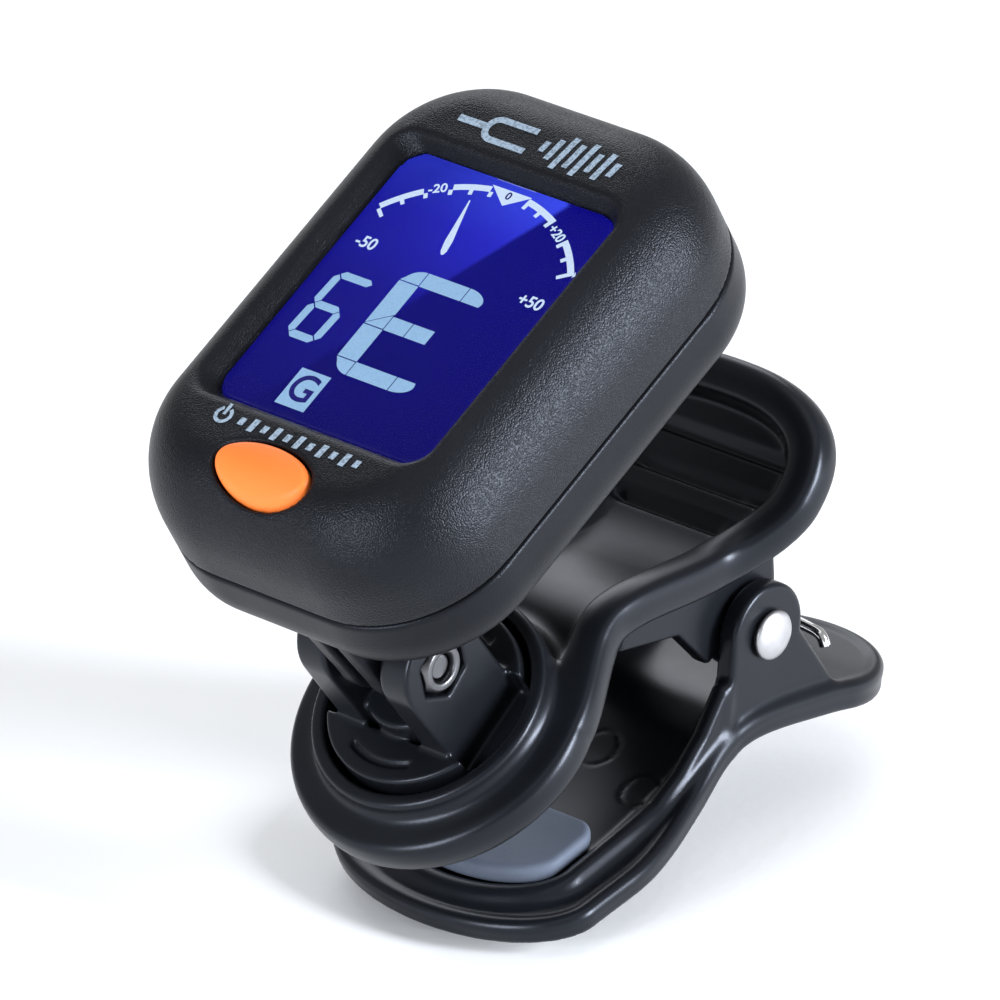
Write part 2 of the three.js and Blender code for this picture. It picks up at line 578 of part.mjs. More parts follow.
// A domed oval cap on a plunger body, with two side tabs that keep it inside the front cover.
function powerButton() {
  const { y, halfWidth, halfHeight, top, shoulder, low, stem, tab, tabHalf, tabLow, tabHigh } = BUTTON;
  const ring = (width, height, level) => oval(width, height, y).getPoints(14).slice(0, -1)
    .map((point) => new THREE.Vector3(point.x, point.y, level));
  const loops = [
    ring(halfWidth - stem, halfHeight - stem, low), ring(halfWidth - stem, halfHeight - stem, tabLow),
    ring(halfWidth, halfHeight, tabLow), ring(halfWidth, halfHeight, shoulder),
  ];
  const turns = 6;
  for (let step = 1; step < turns; step += 1) {
    const angle = (step / turns) * Math.PI / 2;
    const rise = (top - shoulder) * Math.sin(angle);
    loops.push(ring(halfWidth * Math.cos(angle), halfHeight * Math.cos(angle), shoulder + rise));
  }
  const reach = halfWidth + tab;
  const tabs = block([-reach, reach], [y - tabHalf, y + tabHalf], [tabLow, tabHigh]);
  return join(toSolid(skin(loops)), toSolid(tabs));
}

function switchBody() {
  const { half, low, high, plunger } = SWITCH;
  const body = toSolid(block([-half, half], [BUTTON.y - half, BUTTON.y + half], [low, high]));
  return cut(body, toSolid(drum(plunger + 0.2, low + 0.15, high + 1, 20).translate(0, BUTTON.y, 0)));
}

const switchPlunger = () =>
  drum(SWITCH.plunger, SWITCH.plungerLow, SWITCH.plungerHigh, 20).translate(0, BUTTON.y, 0);

function circuitBoard() {
  const outline = roundedRectangle(BOARD.halfWidth, BOARD.low, BOARD.high, BOARD.corner);
  const plate = toSolid(planSlab(outline, BOARD.bottom, BOARD.bottom + BOARD.thick));
  return cut(plate, ...atScrews(CASE_SCREW.shaft + 0.4, 0, 40, 12));
}

const controllerChip = () =>
  block([-CHIP.half, CHIP.half], [CHIP.y - CHIP.half, CHIP.y + CHIP.half], [CHIP.low, CHIP.high]);
const piezoDisc = () => drum(PIEZO.radius, PIEZO.low, PIEZO.low + PIEZO.thick, 28).translate(0, PIEZO.y, 0);
const coinCell = () => turned([[0, CELL.low], [CELL.radius - 1, CELL.low], [CELL.radius - 0.8, CELL.low + 0.3],
  [CELL.radius, CELL.low + 0.5], [CELL.radius, CELL.low + CELL.thick], [0, CELL.low + CELL.thick]], 36)
  .translate(0, CELL.y, 0);

// A bent strip from the board down to just above the cell.
function batteryContact(y) {
  const low = CELL.low + CELL.thick + GAP;
  const high = BOARD.bottom - GAP;
  const strip = polygon([[y - 3, low], [y + 3, low], [y + 3, high], [y + 2.4, high], [y + 2.4, low + 0.4],
    [y - 3, low + 0.4]]);
  return sideSlab(strip, -1.5, 1.5);
}

// ---------------------------------------------------------------- assembly
const group = new THREE.Group();
group.add(turretFrame, headFrame);

const pieces = [
  [group, 'lower_jaw', lowerJaw(), clipPlastic],
  [group, 'lower_pad', lowerPad(), rubber],
  [group, 'hinge_pin', hingePin(), steel],
  [group, 'torsion_spring', torsionSpring(), steel],
  [group, 'upper_jaw', upperJaw(), clipPlastic],
  [turretFrame, 'upper_pad', upperPad(), rubber],
  [turretFrame, 'swivel_screw', swivelScrew(), steel],
  [turretFrame, 'swivel_washer', swivelWasher(), darkSteel],
  [turretFrame, 'turret', turret(), clipPlastic],
  [turretFrame, 'tilt_bolt', tiltBolt(), darkSteel],
  [turretFrame, 'tilt_nut', tiltNut(), darkSteel],
  [headFrame, 'front_cover', frontCover(), shellPlastic],
  [headFrame, 'back_cover', backCover(), shellPlastic],
  [headFrame, 'battery_door', batteryDoor(), shellPlastic],
  [headFrame, 'screen_window', screenWindow(), clearPlastic],
  [headFrame, 'lcd_glass', lcdGlass(), displayGlass],
  [headFrame, 'backlight_panel', backlight(), whitePlastic],
  [headFrame, 'zebra_strip_lower', zebraStrip(-1), rubber],
  [headFrame, 'zebra_strip_upper', zebraStrip(1), rubber],
  [headFrame, 'circuit_board', circuitBoard(), greenBoard],
  [headFrame, 'controller_chip', controllerChip(), blackResin],
  [headFrame, 'switch_body', switchBody(), blackResin],
  [headFrame, 'switch_plunger', switchPlunger(), whitePlastic],
  [headFrame, 'power_button', powerButton(), orangePlastic],
  [headFrame, 'piezo_disc', piezoDisc(), brass],
  [headFrame, 'coin_cell', coinCell(), steel],
  [headFrame, 'battery_contact_rim', batteryContact(CELL.y + 6), brass],
  [headFrame, 'battery_contact_centre', batteryContact(CELL.y - 3), brass],
];
pieces.forEach(([frame, name, shape, material]) => frame.add(mesh(name, shape, material)));
screwPlaces.forEach((place, number) => {
  headFrame.add(mesh(`case_screw_${number + 1}`, caseScrew(place), steel));
});

export default group;
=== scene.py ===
"""Looks for a clip-on instrument tuner: moulded shells, metal parts, a lit display and a studio.

The moulded and turned pieces are made from distance fields sampled on a grid, so that every
edge and every inside corner gets the small radius that a moulded part has.
Fields are in millimetres, in the part's frame or in the frame of the head or of the turret.
"""
import json
import math
from types import SimpleNamespace as Sizes

import bmesh
import bpy
import numpy as np
from mathutils import Matrix, Vector


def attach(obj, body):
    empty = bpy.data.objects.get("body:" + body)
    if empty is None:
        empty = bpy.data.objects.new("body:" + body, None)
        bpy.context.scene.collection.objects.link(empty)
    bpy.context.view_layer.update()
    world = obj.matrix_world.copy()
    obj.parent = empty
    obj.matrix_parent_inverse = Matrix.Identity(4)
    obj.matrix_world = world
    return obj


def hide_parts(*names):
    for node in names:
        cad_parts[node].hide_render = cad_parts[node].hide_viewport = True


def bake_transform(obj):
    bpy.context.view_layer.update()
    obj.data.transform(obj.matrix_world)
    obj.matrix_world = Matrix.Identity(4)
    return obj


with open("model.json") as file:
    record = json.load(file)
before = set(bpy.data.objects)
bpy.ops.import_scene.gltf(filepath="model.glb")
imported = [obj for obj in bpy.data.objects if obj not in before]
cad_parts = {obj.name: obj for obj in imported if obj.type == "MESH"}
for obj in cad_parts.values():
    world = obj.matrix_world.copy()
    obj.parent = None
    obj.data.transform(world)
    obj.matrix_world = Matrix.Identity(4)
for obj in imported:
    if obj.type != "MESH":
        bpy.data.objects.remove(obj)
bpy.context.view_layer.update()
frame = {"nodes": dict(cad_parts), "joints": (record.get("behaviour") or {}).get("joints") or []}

MM = 0.001
joints = {joint["name"]: joint for joint in frame["joints"]}

# ---------------------------------------------------------------- driving sizes, in millimetres
GAP = 0.3
SEAM = 0.16
TURRET_LEAN = math.radians(37)
HEAD_LEAN = math.radians(29.8)
TURRET = Sizes(radius=9.4, foot=-3.9, top=0.9, floor=-2.1)
COLLAR = Sizes(inner=10, outer=11.4, socket_floor=-4.2)
EAR = Sizes(inner=3.3, outer=6.7, half_depth=4.7, bolt_height=8.4)
BOSS = Sizes(radius=4.8, top=2.6)
SWIVEL = Sizes(shaft=1.25, head=2.8, head_low=3.2, head_high=3.9, end=-9.4)
BOLT = Sizes(shaft=1.25, head=2.35, nut_flat=4.6, nut_thick=1.7, recess=1.6)
UPPER = Sizes(lobe=14.5, drop=-4.1, half=1.7, rim=4.3, floor=-0.4, bead=1.75)
GRIP = Sizes(count=3, from_end=15.9, step=3.9, long=1.8, deep=0.75)
UPPER_WEB = Sizes(inner=6.2, outer=8.2, round=4.1)
UPPER_PAD = Sizes(radius=9.2, thick=2.2)
LOWER = Sizes(half=0.9, heel=0.8, tip=-9.8, lobe_wide=15, waist=11.4, lobe_long=7.4, end=48.4)
WALL = Sizes(wide=11.7, long=7, thick=1.8, front=-7.7, back=21)
LOWER_EAR = Sizes(inner=8.6, outer=10.7, round=4.7)
LOWER_PAD = Sizes(inset=2.3, thick=1.8, back=5)
SOLE = Sizes(half_width=7, front=-7.6, back=7.6, corner=5)
PIN = Sizes(shaft=1.5, bore=1.8, head=2.35, head_thick=0.9)
SPRING = Sizes(wire=0.55, coil=2.9, turns=5, low=-3.6, high=3.2)
HEAD = Sizes(half_width=18.6, low=-8, high=45.1, face=27.4, back=9.9, split=15.75,
        corner=12, shoulder_in=6.6, shoulder_down=8.6, back_in=1.4, back_up=3.2, wall=1.8)
SCREEN = Sizes(glass_top=25.2, pane=25.5, pane_thick=0.5,
          foot=(0.57, 18.68, 11.93, 14.68, 1.8), mouth=(0, 18.55, 13.9, 16, 2.8))
BUTTON = Sizes(y=-2.7, half_width=5.3, half_height=2.6, proud=0.1, crown=0.5, low=21.9)
CELL = Sizes(y=27.5, radius=10)
DOOR = Sizes(radius=11.6, thick=1.2)
CASE_SCREW = Sizes(x=12, low=0.2, high=37.6, shaft=1, head=2, sink=1.4)
LUG = Sizes(half_width=2.8, slot=0.8, slot_end=7.5, round=4.1, half_root=6)

PIN_Y, PIN_Z = [value / MM for value in joints["jaw_hinge"]["pos_m"][1:]]
TURRET_Y, TURRET_Z = [value / MM for value in joints["turret_swivel"]["pos_m"][1:]]
BOLT_Y, BOLT_Z = [value / MM for value in joints["head_tilt"]["pos_m"][1:]]


# ---------------------------------------------------------------- frames
def placing(y, z, lean):
    """The matrix from millimetres in a leaning frame to metres in the part's frame."""
    move = Matrix.Translation((0, y * MM, z * MM))
    return move @ Matrix.Rotation(lean, 4, "X") @ Matrix.Scale(MM, 4)


PART_PLACE = placing(0, 0, 0)
TURRET_PLACE = placing(TURRET_Y, TURRET_Z, TURRET_LEAN)
HEAD_PLACE = placing(BOLT_Y, BOLT_Z, HEAD_LEAN)


# ---------------------------------------------------------------- distance fields
def meet(a, b, radius=0.0):
    """The part inside both a and b, with the edge between them rounded."""
    a = a + radius
    b = b + radius
    outside = np.sqrt(np.maximum(a, 0) ** 2 + np.maximum(b, 0) ** 2)
    return outside + np.minimum(np.maximum(a, b), 0) - radius


def merge(a, b, radius=0.0):
    """The part inside either a or b, with a fillet in the corner between them."""
    return -meet(-a, -b, radius)


def carve(a, tool, radius=0.0):
    """a without the tool, with the cut's edge rounded."""
    return meet(a, -tool, radius)


def between(value, low, high):
    """Distance to the slab from low to high."""
    return np.maximum(low - value, value - high)


def column(radial, level, radius, low, high, edge=0.0):
    """A drum about an axis: radial is the distance from the axis and level the place along it."""
    return meet(radial - radius, between(level, low, high), edge)


def oval_distance(a, b, half_a, half_b):
    share = np.hypot(a / half_a, b / half_b) + 1e-9
    slope = np.hypot(a / half_a ** 2, b / half_b ** 2) + 1e-9
    return (share - 1) * share / slope


def tablet_distance(a, b, half_a, half_b, corner):
    """Signed distance to a rounded rectangle centred on zero."""
    past_a = np.abs(a) - (half_a - corner)
    past_b = np.abs(b) - (half_b - corner)
    outside = np.sqrt(np.maximum(past_a, 0) ** 2 + np.maximum(past_b, 0) ** 2)
    return outside + np.minimum(np.maximum(past_a, past_b), 0) - corner


def outline_distance(points, a, b):
    """Signed distance, negative inside, from the closed outline through points."""
    corners = np.asarray(points, float)
    best = np.full(np.broadcast(a, b).shape, 1e9)
    inside = np.zeros(best.shape, bool)
    for start, end in zip(corners, np.roll(corners, -1, axis=0)):
        edge = end - start
        if edge @ edge < 1e-12:
            continue
        from_a = a - start[0]
        from_b = b - start[1]
        share = np.clip((from_a * edge[0] + from_b * edge[1]) / (edge @ edge), 0, 1)
        best = np.minimum(best, (from_a - share * edge[0]) ** 2 + (from_b - share * edge[1]) ** 2)
        crosses = (start[1] > b) != (end[1] > b)
        rise = edge[1] if edge[1] else 1e-9
        inside ^= crosses & (from_a < edge[0] * from_b / rise)
    return np.where(inside, -1, 1) * np.sqrt(best)


def curve_coordinates(points, y, z):
    """For each place in the side view, the distance along the curve and the height above it."""
    corners = np.asarray(points, float)
    best = np.full(np.broadcast(y, z).shape, 1e9)
    travel = np.zeros(best.shape)
    height = np.zeros(best.shape)
    length = 0.0
    for start, end in zip(corners[:-1], corners[1:]):
        edge = end - start
        span = math.hypot(*edge)
        from_y = y - start[0]
        from_z = z - start[1]
        share = np.clip((from_y * edge[0] + from_z * edge[1]) / span ** 2, 0, 1)
        distance = np.hypot(from_y - share * edge[0], from_z - share * edge[1])
        side = np.where(edge[0] * from_z - edge[1] * from_y < 0, -1, 1)
        nearer = distance < best
        best = np.where(nearer, distance, best)
        travel = np.where(nearer, length + share * span, travel)
        height = np.where(nearer, distance * side, height)
        length += span
    return travel, height


def spread(table, first, step, places):
    """Reads a table whose last axis is a distance, at an array of such distances."""
    index = np.clip((places - first) / step, 0, table.shape[-1] - 1.001)
    whole = index.astype(int)
    share = (index - whole).astype(np.float32)
    return table[..., whole] * (1 - share) + table[..., whole + 1] * share


def read_profile(outline, inward, level, step=0.12):
    """Distance to a profile that is carried round an outline: inward is the distance inside it."""
    first_a, first_b = float(inward.min()) - 1, float(level.min()) - 1
    axis_a = np.arange(first_a, float(inward.max()) + 1, step)
    axis_b = np.arange(first_b, float(level.max()) + 1, step)
    table = outline_distance(outline, axis_a[:, None], axis_b[None, :]).astype(np.float32)
    at_a = np.clip((inward - first_a) / step, 0, len(axis_a) - 1.001)
    at_b = np.clip((level - first_b) / step, 0, len(axis_b) - 1.001)
    at_a, at_b = np.broadcast_arrays(at_a, at_b)
    row, place = at_a.astype(int), at_b.astype(int)
    down, along = (at_a - row).astype(np.float32), (at_b - place).astype(np.float32)
    near = table[row, place] * (1 - along) + table[row, place + 1] * along
    far = table[row + 1, place] * (1 - along) + table[row + 1, place + 1] * along
    return near * (1 - down) + far * down


def grid(low, high, step, margin=0.0):
    """Three axes of sample places, shaped so that they broadcast to a volume."""
    axes = [np.arange(a - margin, b + margin + step, step, dtype=np.float32)
            for a, b in zip(low, high)]
    return axes[0][:, None, None], axes[1][None, :, None], axes[2][None, None, :]


# ---------------------------------------------------------------- surfaces from fields
CORNERS = np.array([[i, j, k] for i in (0, 1) for j in (0, 1) for k in (0, 1)])
EDGES = [(a, b) for a in range(8) for b in range(a + 1, 8)
         if abs(CORNERS[a] - CORNERS[b]).sum() == 1]


def sample(values, places):
    """Reads a volume, or one with several channels, between its samples."""
    whole = np.clip(places.astype(int), 0, np.array(values.shape[:3]) - 2)
    share = places - whole
    total = 0
    for corner in CORNERS:
        weight = np.prod(np.where(corner, share, 1 - share), axis=1)
        at = whole + corner
        picked = values[at[:, 0], at[:, 1], at[:, 2]]
        total = total + (picked * weight[:, None] if picked.ndim == 2 else picked * weight)
    return total


def surface(values):
    """Vertices, outward normals and quads of a field's zero surface, in grid steps."""
    inside = values < 0
    cells = tuple(size - 1 for size in values.shape)
    views = [inside[i:i + cells[0], j:j + cells[1], k:k + cells[2]] for i, j, k in CORNERS]
    count = sum(view.astype(np.int8) for view in views)
    active = (count > 0) & (count < 8)
    number = np.full(cells, -1, np.int64)
    number[active] = np.arange(active.sum())
    base = np.argwhere(active)
    at_corners = np.stack([values[tuple((base + corner).T)] for corner in CORNERS], axis=1)
    total = np.zeros(base.shape)
    hits = np.zeros(len(base))
    for a, b in EDGES:
        va, vb = at_corners[:, a], at_corners[:, b]
        crossing = (va < 0) != (vb < 0)
        share = np.where(crossing, va / np.where(crossing, va - vb, 1), 0)
        total += crossing[:, None] * (CORNERS[a] + share[:, None] * (CORNERS[b] - CORNERS[a]))
        hits += crossing
    places = base + total / hits[:, None]

    quads = []
    for axis in range(3):
        u, v = (axis + 1) % 3, (axis + 2) % 3
        ahead = [slice(None)] * 3
        behind = [slice(None)] * 3
        ahead[axis], behind[axis] = slice(1, None), slice(None, -1)
        change = inside[tuple(behind)] != inside[tuple(ahead)]
        starts = np.argwhere(change)
        keep = (starts[:, u] > 0) & (starts[:, v] > 0)
        keep &= (starts[:, u] < cells[u]) & (starts[:, v] < cells[v])
        starts = starts[keep]
        outward = inside[tuple(starts.T)]
        ring = []
        for step_u, step_v in ((1, 1), (0, 1), (0, 0), (1, 0)):
            cell = starts.copy()
            cell[:, u] -= step_u
            cell[:, v] -= step_v
            ring.append(number[tuple(cell.T)])
        ring = np.stack(ring, axis=1)
        quads.append(np.where(outward[:, None], ring, ring[:, ::-1]))
    quads = np.concatenate(quads)

    slopes = np.stack(np.gradient(values), axis=-1)
    for _ in range(3):
        places = relaxed(places, quads)
        for _ in range(2):
            value = sample(values, places)
            slope = sample(slopes, places)
            size = np.maximum((slope ** 2).sum(axis=1), 1e-6)
            move = (value / size)[:, None] * slope
            places = places - np.clip(move, -0.5, 0.5)
    slope = sample(slopes, places)
    normals = slope / np.maximum(np.linalg.norm(slope, axis=1), 1e-9)[:, None]
    return places, normals, quads


def relaxed(places, quads):
    """Moves each vertex halfway to the middle of its neighbours, for even quads."""
    total = np.zeros_like(places)
    hits = np.zeros(len(places))
    for side in range(4):
        a, b = quads[:, side], quads[:, (side + 1) % 4]
        for mine, other in ((a, b), (b, a)):
            for axis in range(3):
                total[:, axis] += np.bincount(mine, places[other, axis], len(places))
            hits += np.bincount(mine, minlength=len(places))
    middle = total / np.maximum(hits, 1)[:, None]
    return np.where(hits[:, None] > 0, (places + middle) / 2, places)


def piece_from_field(name, values, axes, place, material):
    """The field's zero surface as an object, placed in the part's frame."""
    values = np.ascontiguousarray(np.broadcast_to(values, [axis.size for axis in axes]), np.float32)
    places, normals, quads = surface(values)
    low = np.array([axis.min() for axis in axes], float)
    step = float(axes[0].ravel()[1] - axes[0].ravel()[0])
    matrix = np.array(place)
    points = (places * step + low) @ matrix[:3, :3].T + matrix[:3, 3]
    turned = normals @ (matrix[:3, :3] / MM).T
    mesh = bpy.data.meshes.new(name)
    mesh.from_pydata(points.tolist(), [], quads.tolist())
    mesh.shade_smooth()
    mesh.normals_split_custom_set_from_vertices(turned.tolist())
    return shown(name, mesh, material)


def shown(name, mesh, material):
    piece = bpy.data.objects.new(name, mesh)
    bpy.context.scene.collection.objects.link(piece)
    if material:
        mesh.materials.append(material)
    return piece


def settle(piece, body, material_slot, *nodes):
    """Puts a piece on its body, and hides the nodes it stands for."""
    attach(piece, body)
    if nodes:
        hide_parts(*nodes)
    return piece


# ---------------------------------------------------------------- materials
def node_material(name):
    material = bpy.data.materials.new(name)
    material.use_nodes = True
    tree = material.node_tree
    return material, tree, tree.nodes["Principled BSDF"]


def wire(tree, source, output, target, socket):
    tree.links.new(source.outputs[output], target.inputs[socket])


def add_node(tree, kind, **inputs):
    """A shader node with its inputs set; an underscore in a name stands for a space."""
    made = tree.nodes.new("ShaderNode" + kind)
    for socket, value in inputs.items():
        made.inputs[socket.replace("_", " ")].default_value = value
    return made


def noise(tree, scale, detail=2.0, roughness=0.5):
    """Noise in the piece's own space, so the pattern travels with the piece."""
    texture = add_node(tree, "TexNoise", Scale=scale, Detail=detail, Roughness=roughness)
    wire(tree, add_node(tree, "TexCoord"), "Object", texture, "Vector")
    return texture


def uneven_gloss(tree, shader, texture, low, high):
    """Lets a noise carry the shader's roughness from low to high."""
    satin = add_node(tree, "MapRange", To_Min=low, To_Max=high)
    wire(tree, texture, "Fac", satin, "Value")
    wire(tree, satin, "Result", shader, "Roughness")


def ramp(tree, source, output, stops):
    """Colours along a texture's output, from stops of (position, colour)."""
    blend = add_node(tree, "ValToRGB")
    elements = blend.color_ramp.elements
    while len(elements) < len(stops):
        elements.new(0.5)
    for element, (position, color) in zip(elements, stops):
        element.position = position
        element.color = (*color, 1)
    wire(tree, source, output, blend, "Fac")
    return blend


def bump(tree, shader, heights, strength, distance):
    """Adds the heights, given as (node, output, weight), and drives the shader's normal."""
    total = None
    for source, output, weight in heights:
        scaled = add_node(tree, "Math")
        scaled.operation = "MULTIPLY"
        scaled.inputs[1].default_value = weight
        wire(tree, source, output, scaled, 0)
        if total is None:
            total = scaled
        else:
            added = add_node(tree, "Math")
            wire(tree, total, 0, added, 0)
            wire(tree, scaled, 0, added, 1)
            total = added
    relief = add_node(tree, "Bump", Strength=strength, Distance=distance)
    wire(tree, total, 0, relief, "Height")
    wire(tree, relief, "Normal", shader, "Normal")


def moulded_plastic(name, dark, light, gloss, grain, grain_scale, depth, shine=0.25):
    """Moulded plastic: gloss is the roughness range, grain the share of pebbles in its relief."""
    material, tree, shader = node_material(name)
    tint = ramp(tree, noise(tree, 90, 3), "Fac", [(0.3, dark), (0.7, light)])
    wire(tree, tint, "Color", shader, "Base Color")
    uneven_gloss(tree, shader, noise(tree, 420, 4, 0.6), *gloss)
    shader.inputs["Specular IOR Level"].default_value = shine
    shader.inputs["Specular Tint"].default_value = (0.82, 0.87, 1, 1)
    pebbles = add_node(tree, "TexVoronoi")
    pebbles.feature = "SMOOTH_F1"
    pebbles.inputs["Scale"].default_value = grain_scale
    pebbles.inputs["Smoothness"].default_value = 0.6
    wire(tree, add_node(tree, "TexCoord"), "Object", pebbles, "Vector")
    fine = noise(tree, grain_scale * 2.3, 3)
    bump(tree, shader, [(pebbles, "Distance", -grain), (fine, "Fac", 1 - grain)], 1.0, depth)
    return material


def metal(name, base, gloss, brush_scale, depth=0.000003):
    """Metal with slightly uneven colour and gloss, and a very fine relief."""
    material, tree, shader = node_material(name)
    shader.inputs["Metallic"].default_value = 1
    darker = [part * 0.86 for part in base]
    tint = ramp(tree, noise(tree, 600, 3), "Fac", [(0.3, darker), (0.7, base)])
    wire(tree, tint, "Color", shader, "Base Color")
    polish = noise(tree, brush_scale, 5, 0.65)
    uneven_gloss(tree, shader, polish, *gloss)
    bump(tree, shader, [(polish, "Fac", 1.0)], 0.6, depth)
    return material


def ink(name, color, glow, speckle):
    """A display segment or printed mark: its own colour with a fine speckle, lit if glow is set."""
    material, tree, shader = node_material(name)
    darker = [part * (1 - speckle) for part in color]
    tint = ramp(tree, noise(tree, 3800, 2), "Fac", [(0.42, darker), (0.5, color)])
    if glow:
        wire(tree, tint, "Color", shader, "Emission Color")
        shader.inputs["Emission Strength"].default_value = glow
        shader.inputs["Base Color"].default_value = (0.01, 0.01, 0.02, 1)
    else:
        wire(tree, tint, "Color", shader, "Base Color")
    shader.inputs["Roughness"].default_value = 0.55
    shader.inputs["Specular IOR Level"].default_value = 0.1
    return material


def clear_window():
    """The hard clear window over the display, with very faint haze."""
    material, tree, shader = node_material("clear_window")
    shader.inputs["Transmission Weight"].default_value = 1
    shader.inputs["IOR"].default_value = 1.07
    shader.inputs["Base Color"].default_value = (0.97, 0.98, 1, 1)
    uneven_gloss(tree, shader, noise(tree, 260, 4, 0.7), 0.0, 0.03)
    return material


def color_mix(tree, first, second, mode="MIX"):
    """Mixes two (node, output) colours; the share is left for the caller to set."""
    mixer = add_node(tree, "Mix")
    mixer.data_type = "RGBA"
    mixer.blend_type = mode
    wire(tree, *first, mixer, 6)
    wire(tree, *second, mixer, 7)
    return mixer


def blue_display():
    """The lit display: deep blue, with a painted reflection of a lamp that grows paler towards the
    top and ends at a slanting edge.
    """
    material, tree, shader = node_material("blue_display")
    place = add_node(tree, "TexCoord")
    # Painted reflection of a lamp on the glass: a mask that is full just past a slanting line and
    # weaker further on.
    slant = add_node(tree, "VectorMath")
    slant.operation = "DOT_PRODUCT"
    slant.inputs[1].default_value = (-PAINTED_REFLECTION.steep / PAINTED_REFLECTION.reach, 1 / PAINTED_REFLECTION.reach, 0)
    wire(tree, place, "Object", slant, 0)
    past = add_node(tree, "Math")
    past.inputs[1].default_value = 0.5 - PAINTED_REFLECTION.start / PAINTED_REFLECTION.reach
    wire(tree, slant, "Value", past, 0)
    edge = ramp(tree, past, 0, [(0.49, (0, 0, 0)), (0.51, (1, 1, 1)), (1.0, (0.35, 0.35, 0.35))])
    apart = add_node(tree, "SeparateXYZ")
    wire(tree, place, "Object", apart, "Vector")
    height = add_node(tree, "MapRange", From_Min=-0.021, From_Max=0.0035)
    wire(tree, apart, "Y", height, "Value")
    # lit is the blue under the painted reflection, paler towards the top; deep is the display's own
    # blue elsewhere.
    lit = ramp(tree, height, "Result", [(0.0, (0.004, 0.003, 0.14)), (0.5, (0.008, 0.007, 0.26)),
                                        (0.8, (0.02, 0.022, 0.56)), (1.0, (0.045, 0.075, 0.86))])
    deep = ramp(tree, height, "Result", [(0.0, (0.003, 0.002, 0.12)), (1.0, (0.002, 0.001, 0.2))])
    mixed = color_mix(tree, (deep, "Color"), (lit, "Color"))
    wire(tree, edge, "Color", mixed, 0)
    cells = ramp(tree, noise(tree, 2600, 1), "Fac", [(0.35, (0.9, 0.9, 0.93)), (0.65, (1, 1, 1))])
    mottled = color_mix(tree, (mixed, 2), (cells, "Color"), "MULTIPLY")
    mottled.inputs[0].default_value = 1
    wire(tree, mottled, 2, shader, "Emission Color")
    shader.inputs["Base Color"].default_value = (0.001, 0.001, 0.02, 1)
    shader.inputs["Specular IOR Level"].default_value = 0.05
    shader.inputs["Emission Strength"].default_value = 1.0
    shader.inputs["Roughness"].default_value = 0.3
    return material


def floor_paper():
    material, tree, shader = node_material("floor_paper")
    tone = ramp(tree, noise(tree, 12, 4), "Fac", [(0.3, [0.9] * 3), (0.7, [0.93] * 3)])
    wire(tree, tone, "Color", shader, "Base Color")
    shader.inputs["Roughness"].default_value = 0.9
    bump(tree, shader, [(noise(tree, 900, 3), "Fac", 1.0)], 0.2, 0.0001)
    return material


# The edge of the painted reflection on the display, in metres of the part's X and Y: where it
# starts, and its slope.
PAINTED_REFLECTION = Sizes(start=-0.00766, steep=1.77, reach=0.05)

SHELL = moulded_plastic("shell_plastic", (0.0042, 0.0046, 0.0058), (0.0062, 0.0067, 0.0084),
                        (0.3, 0.37), 0.85, 6800, 0.00006, 0.17)
BACK = moulded_plastic("back_shell_plastic", (0.004, 0.0044, 0.0056), (0.006, 0.0065, 0.0082),
                       (0.3, 0.38), 0.6, 6800, 0.000025, 0.14)
CLIP = moulded_plastic("clip_plastic", (0.004, 0.0045, 0.006), (0.006, 0.007, 0.009),
                       (0.27, 0.35), 0.5, 5000, 0.000006)
PAD = moulded_plastic("pad_rubber", (0.085, 0.1, 0.135), (0.11, 0.13, 0.17),
                      (0.5, 0.7), 0.5, 2600, 0.00002)
ORANGE = moulded_plastic("orange_plastic", (0.88, 0.18, 0.028), (0.94, 0.21, 0.04),
                         (0.42, 0.52), 0.5, 2600, 0.00001)
WHITE = moulded_plastic("white_plastic", (0.7, 0.7, 0.68), (0.8, 0.8, 0.77),
                        (0.4, 0.5), 0.5, 3000, 0.00001)
BOARD = moulded_plastic("board_green", (0.015, 0.1, 0.035), (0.02, 0.13, 0.045),
                        (0.3, 0.4), 0.5, 3000, 0.00001)
RESIN = moulded_plastic("black_resin", (0.009, 0.009, 0.01), (0.012, 0.012, 0.013),
                        (0.4, 0.5), 0.6, 4000, 0.00001)
STEEL = metal("bright_steel", (0.52, 0.515, 0.53), (0.34, 0.42), 1500, 0.0000015)
DARK_STEEL = metal("dark_steel", (0.16, 0.16, 0.17), (0.28, 0.42), 2000, 0.000003)
CHROME = metal("spring_chrome", (0.84, 0.84, 0.85), (0.08, 0.16), 1500, 0.000001)
BRASS = metal("brass", (0.76, 0.55, 0.24), (0.22, 0.36), 1500)
WINDOW = clear_window()
DISPLAY = blue_display()
SEGMENT = ink("display_segment", (0.3, 0.51, 0.75), 1.0, 0.07)
SCALE_INK = ink("display_scale", (0.62, 0.76, 0.95), 1.0, 0.05)
DEEP_BLUE = ink("display_dark", (0.006, 0.004, 0.16), 1.0, 0.1)
FACE_INK = ink("face_ink", (0.3, 0.38, 0.47), 0.0, 0.4)


# ---------------------------------------------------------------- head shells
def arc_points(centre, reach, start, end, count=24):
    """Points on a circle or an ellipse, from one angle to another, in degrees."""
    wide, tall = np.broadcast_to(reach, 2)
    return [(centre[0] + wide * math.cos(angle), centre[1] + tall * math.sin(angle))
            for angle in np.radians(np.linspace(start, end, count))]


def inside_outline(x, y):
    """How far a place is inside the head's rounded outline."""
    middle = (HEAD.low + HEAD.high) / 2
    half_height = (HEAD.high - HEAD.low) / 2
    return -tablet_distance(x, y - middle, HEAD.half_width, half_height, HEAD.corner)


def head_grid(low, high, step=0.3):
    """The grid over the head between two levels, with the distance inside its outline."""
    axes = grid((-HEAD.half_width, HEAD.low, low), (HEAD.half_width, HEAD.high, high), step, 0.9)
    return axes, inside_outline(axes[0], axes[1])


